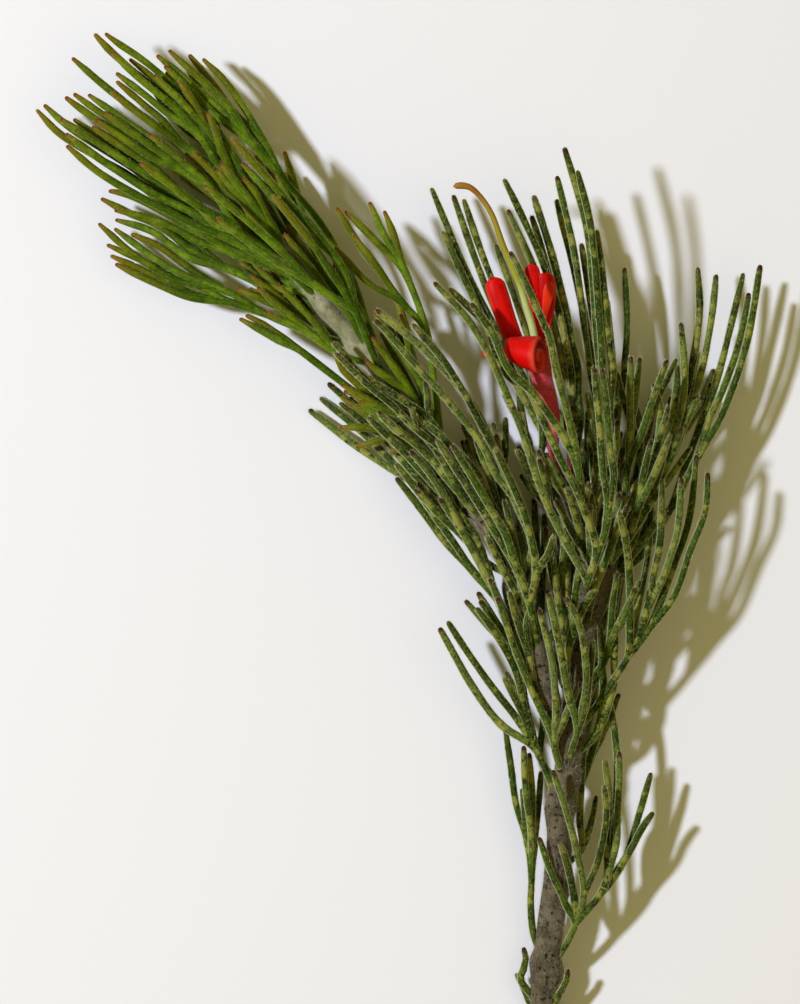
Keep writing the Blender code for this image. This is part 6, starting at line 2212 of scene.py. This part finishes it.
@dataclass
class Studio:
    """A plain pale surface and soft light: one cool key from the upper left and a weak warm fill
    from above. Lengths in metres."""

    floor_colour: str = "#ebebeb"
    floor_size: float = 4.0
    key_colour: str = "#e5e9ff"
    key_energy: float = 8.25
    key_size: float = 0.075
    key_place: tuple = (-0.55, 0.16, 0.78)
    fill_colour: str = "#ffe9cc"
    fill_energy: float = 1.6
    fill_size: float = 0.9
    fill_place: tuple = (0.35, -0.1, 1.2)
    world_colour: str = "#faee90"
    world_strength: float = 0.25
    view_height: float = 2.5
    view_centre: tuple = (0.0, 0.00775)
    view_span: float = 0.1255
    sensor: float = 36.0

    def build(self) -> None:
        """Sets up the surface, the lights, the world and the camera."""
        self.build_floor()
        self.build_light("key", self.key_colour, self.key_energy, self.key_size, self.key_place)
        self.build_light("fill", self.fill_colour, self.fill_energy, self.fill_size,
                         self.fill_place)
        world = bpy.data.worlds.new("studio")
        world.use_nodes = True
        sky = world.node_tree.nodes["Background"]
        sky.inputs["Color"].default_value = linear(self.world_colour)
        sky.inputs["Strength"].default_value = self.world_strength
        scene = bpy.context.scene
        scene.world = world
        scene.view_settings.view_transform = "Standard"
        scene.view_settings.look = "Medium High Contrast"
        data = bpy.data.cameras.new("camera")
        data.sensor_width = self.sensor
        data.lens = self.sensor * self.view_height / self.view_span
        data.dof.use_dof = False
        scene.camera = shown("camera", data)
        scene.camera.location = (*self.view_centre, self.view_height)

    def build_floor(self) -> None:
        """Lays the surface, matt and almost white."""
        half = 0.5 * self.floor_size / MM
        corners = [(-half, -half, 0.0), (half, -half, 0.0), (half, half, 0.0), (-half, half, 0.0)]
        paint = Paint("matt_white_surface", self.floor_colour, roughness=0.95)
        floor = mesh_object("surface", corners, [(0, 1, 2, 3)], material=paint.done())

    def build_light(self, name: str, colour: str, energy: float, size: float,
                    place: tuple) -> None:
        """Adds a disc of light that faces the middle of the view.

        Args:
            name: its name.
            colour: its colour.
            energy: its power in watts.
            size: its diameter.
            place: where it hangs.
        """
        data = bpy.data.lights.new(name, "AREA")
        data.shape = "DISK"
        data.size = size
        data.energy = energy
        data.color = linear(colour)[:3]
        light = shown(name, data)
        light.location = place
        way = Vector((*self.view_centre, 0.0)) - light.location
        light.rotation_euler = way.to_track_quat("-Z", "Y").to_euler()


# Each skin's margin colour is painted sheen on the lobes' side margins, over the hairs' own pale
# colour
OLD_SKIN = LobeFinish(
    "living_old_leaf", skin="#354a0e", light="#546d1e", deep="#182206", deep_cover=0.75,
    bloom="#a9b168", bloom_cover=0.33, pale="#a3a24e", pale_from=0.29, pale_cover=0.68,
    rust="#2e1c10", rust_from=0.635, margin="#c8cea2", margin_sheen_cover=0.82,
    foot=("#6b7440", 5.0, 0.5), blush=("#5c5a24", 8.0, 0.4), ripe=("#4c3a1c", 1.6, 0.3),
    tip=("#42221a", 1.0, 0.9), tip_share=0.5, sheen=0.15)
YOUNG_SKIN = LobeFinish(
    "living_young_leaf", skin="#496404", light="#769014", deep="#203402", deep_cover=0.5,
    bloom="#9fae50", bloom_cover=0.15, pale="#9eae3a", pale_from=0.44, pale_cover=0.5,
    rust="#6a3a1c", rust_from=0.72, margin="#aaba5c", margin_sheen_cover=0.5,
    foot=("#728a30", 6.0, 0.5), blush=("#8a7814", 12.0, 0.64), ripe=("#8a6220", 2.4, 0.6),
    tip=("#7e3e1c", 0.5, 0.95), tip_share=0.75, sheen=0.0)
OLD_BARK = BarkFinish("woolly_old_bark", wool="#70654f", worn="#42382a", green="#4a4c2a",
                      green_cover=0.5, dark="#1a130c", dark_from=0.64)
# The young bark's colours are its pale wool, painted lighter still: painted light that makes up for
# the shade the leaves cast on the shoot where it lies open
YOUNG_BARK = BarkFinish("woolly_young_bark", wool="#a5a382", worn="#83825c", green="#78823e",
                        green_cover=0.4, dark="#5c5030", dark_from=0.74)
LEAF_DOWN = DownFinish("leaf_down", "#e4e4b8", "#a8aa78")
STEM_WOOL = DownFinish("stem_wool", "#cfc6b2", "#8f8068")
PETAL_DOWN = DownFinish("petal_down", "#f6dcdc", "#d8a0a4")


def add_leaves(plan: SprigPlan, down: bpy.types.NodeTree) -> None:
    """Builds the leaves of every stem, with their down.

    Args:
        plan: the settled plan.
        down: the tree that grows hairs.
    """
    round_lobes = lobe_tree()
    old, young, hair = OLD_SKIN.material(), YOUNG_SKIN.material(), LEAF_DOWN.material()
    # Each with its skin, its hairs to a square millimetre and how many more grow at the margins
    sprays = (
        (LeafSpray("stem_leaves", "stem", Slot.OLD, Tip.BLUNT), old, 1.25, 10.0),
        (LeafSpray("branch_leaves", "branch", Slot.OLD, Tip.BLUNT), old, 1.7, 10.0),
        (LeafSpray("flower_leaves", "floral", Slot.OLD, Tip.BLUNT), old, 2.0, 10.0),
        (LeafSpray("shoot_leaves", "shoot", Slot.YOUNG, Tip.KNOBBED), young, 2.0, 1.5),
    )
    for number, (spray, skin, density, gain) in enumerate(sprays):
        piece = spray.build(plan, round_lobes, skin)
        width = 0.034 if spray.slot is Slot.OLD else 0.022
        hairs = Down(f"{spray.name}_down", spray.slot, density=density, length=0.42, width=width,
                     rise=0.5, scatter=0.35, margin_gain=gain, seed=20 + number)
        hand_over(piece, spray.slot, AXES[spray.axis].foliage.value)
        hairs.grow(piece, down, hair)


def add_stems(plan: SprigPlan, down: bpy.types.NodeTree) -> None:
    """Builds the bark of the stems, with their wool, and the cut face.

    Args:
        plan: the settled plan.
        down: the tree that grows hairs.
    """
    wool = STEM_WOOL.material()
    # Each with its bark and its hairs to a square millimetre
    stems = (
        (Stem("stem_bark", ("stem", "branch", "floral"), Slot.OLD, cut_start=True), OLD_BARK,
         20.0),
        (Stem("shoot_bark", ("shoot",), Slot.YOUNG, sides=24), YOUNG_BARK, 32.0),
    )
    for number, (stem, bark, density) in enumerate(stems):
        piece = stem.build(plan, bark.material())
        hand_over(piece, stem.slot, AXES[stem.axes[0]].foliage.value)
        Down(f"{stem.name}_wool", stem.slot, density=density, length=0.62, width=0.022,
             rise=0.5, scatter=0.9, curl=0.4, seed=40 + number).grow(piece, down, wool)
    hand_over(CutFace().build(plan, CutFinish().material()), Slot.OLD, Foliage.OLD.value)


def add_flower(flower: Flower, down: bpy.types.NodeTree) -> None:
    """Builds the flower with its style and bract, and the down on its tube.

    Args:
        flower: the flower.
        down: the tree that grows hairs.
    """
    tube = flower.build_tube(TubeFinish().material())
    hand_over(tube, Slot.PETAL, "perianth")
    hand_over(flower.build_tepals(PetalFinish().material()), Slot.PETAL, "perianth")
    hand_over(flower.build_style(StyleFinish().material()), Slot.STYLE, "style")
    hand_over(flower.build_bract(BractFinish().material()), Slot.BUD, "flower_bud")
    Down("flower_tube_down", Slot.PETAL, density=30.0, length=0.34, width=0.02,
         rise=0.5, scatter=0.3, seed=60).grow(tube, down, PETAL_DOWN.material())


def main() -> None:
    """Builds the sprig and the studio."""
    logging.basicConfig(level=logging.INFO, format="%(message)s")
    plan, flower, down = SprigPlan(), Flower(), down_tree()
    plan.settle_all(flower.samples(plan.sample_spacing))
    add_leaves(plan, down)
    add_stems(plan, down)
    add_flower(flower, down)
    Studio().build()


if __name__ == "__main__":
    main()
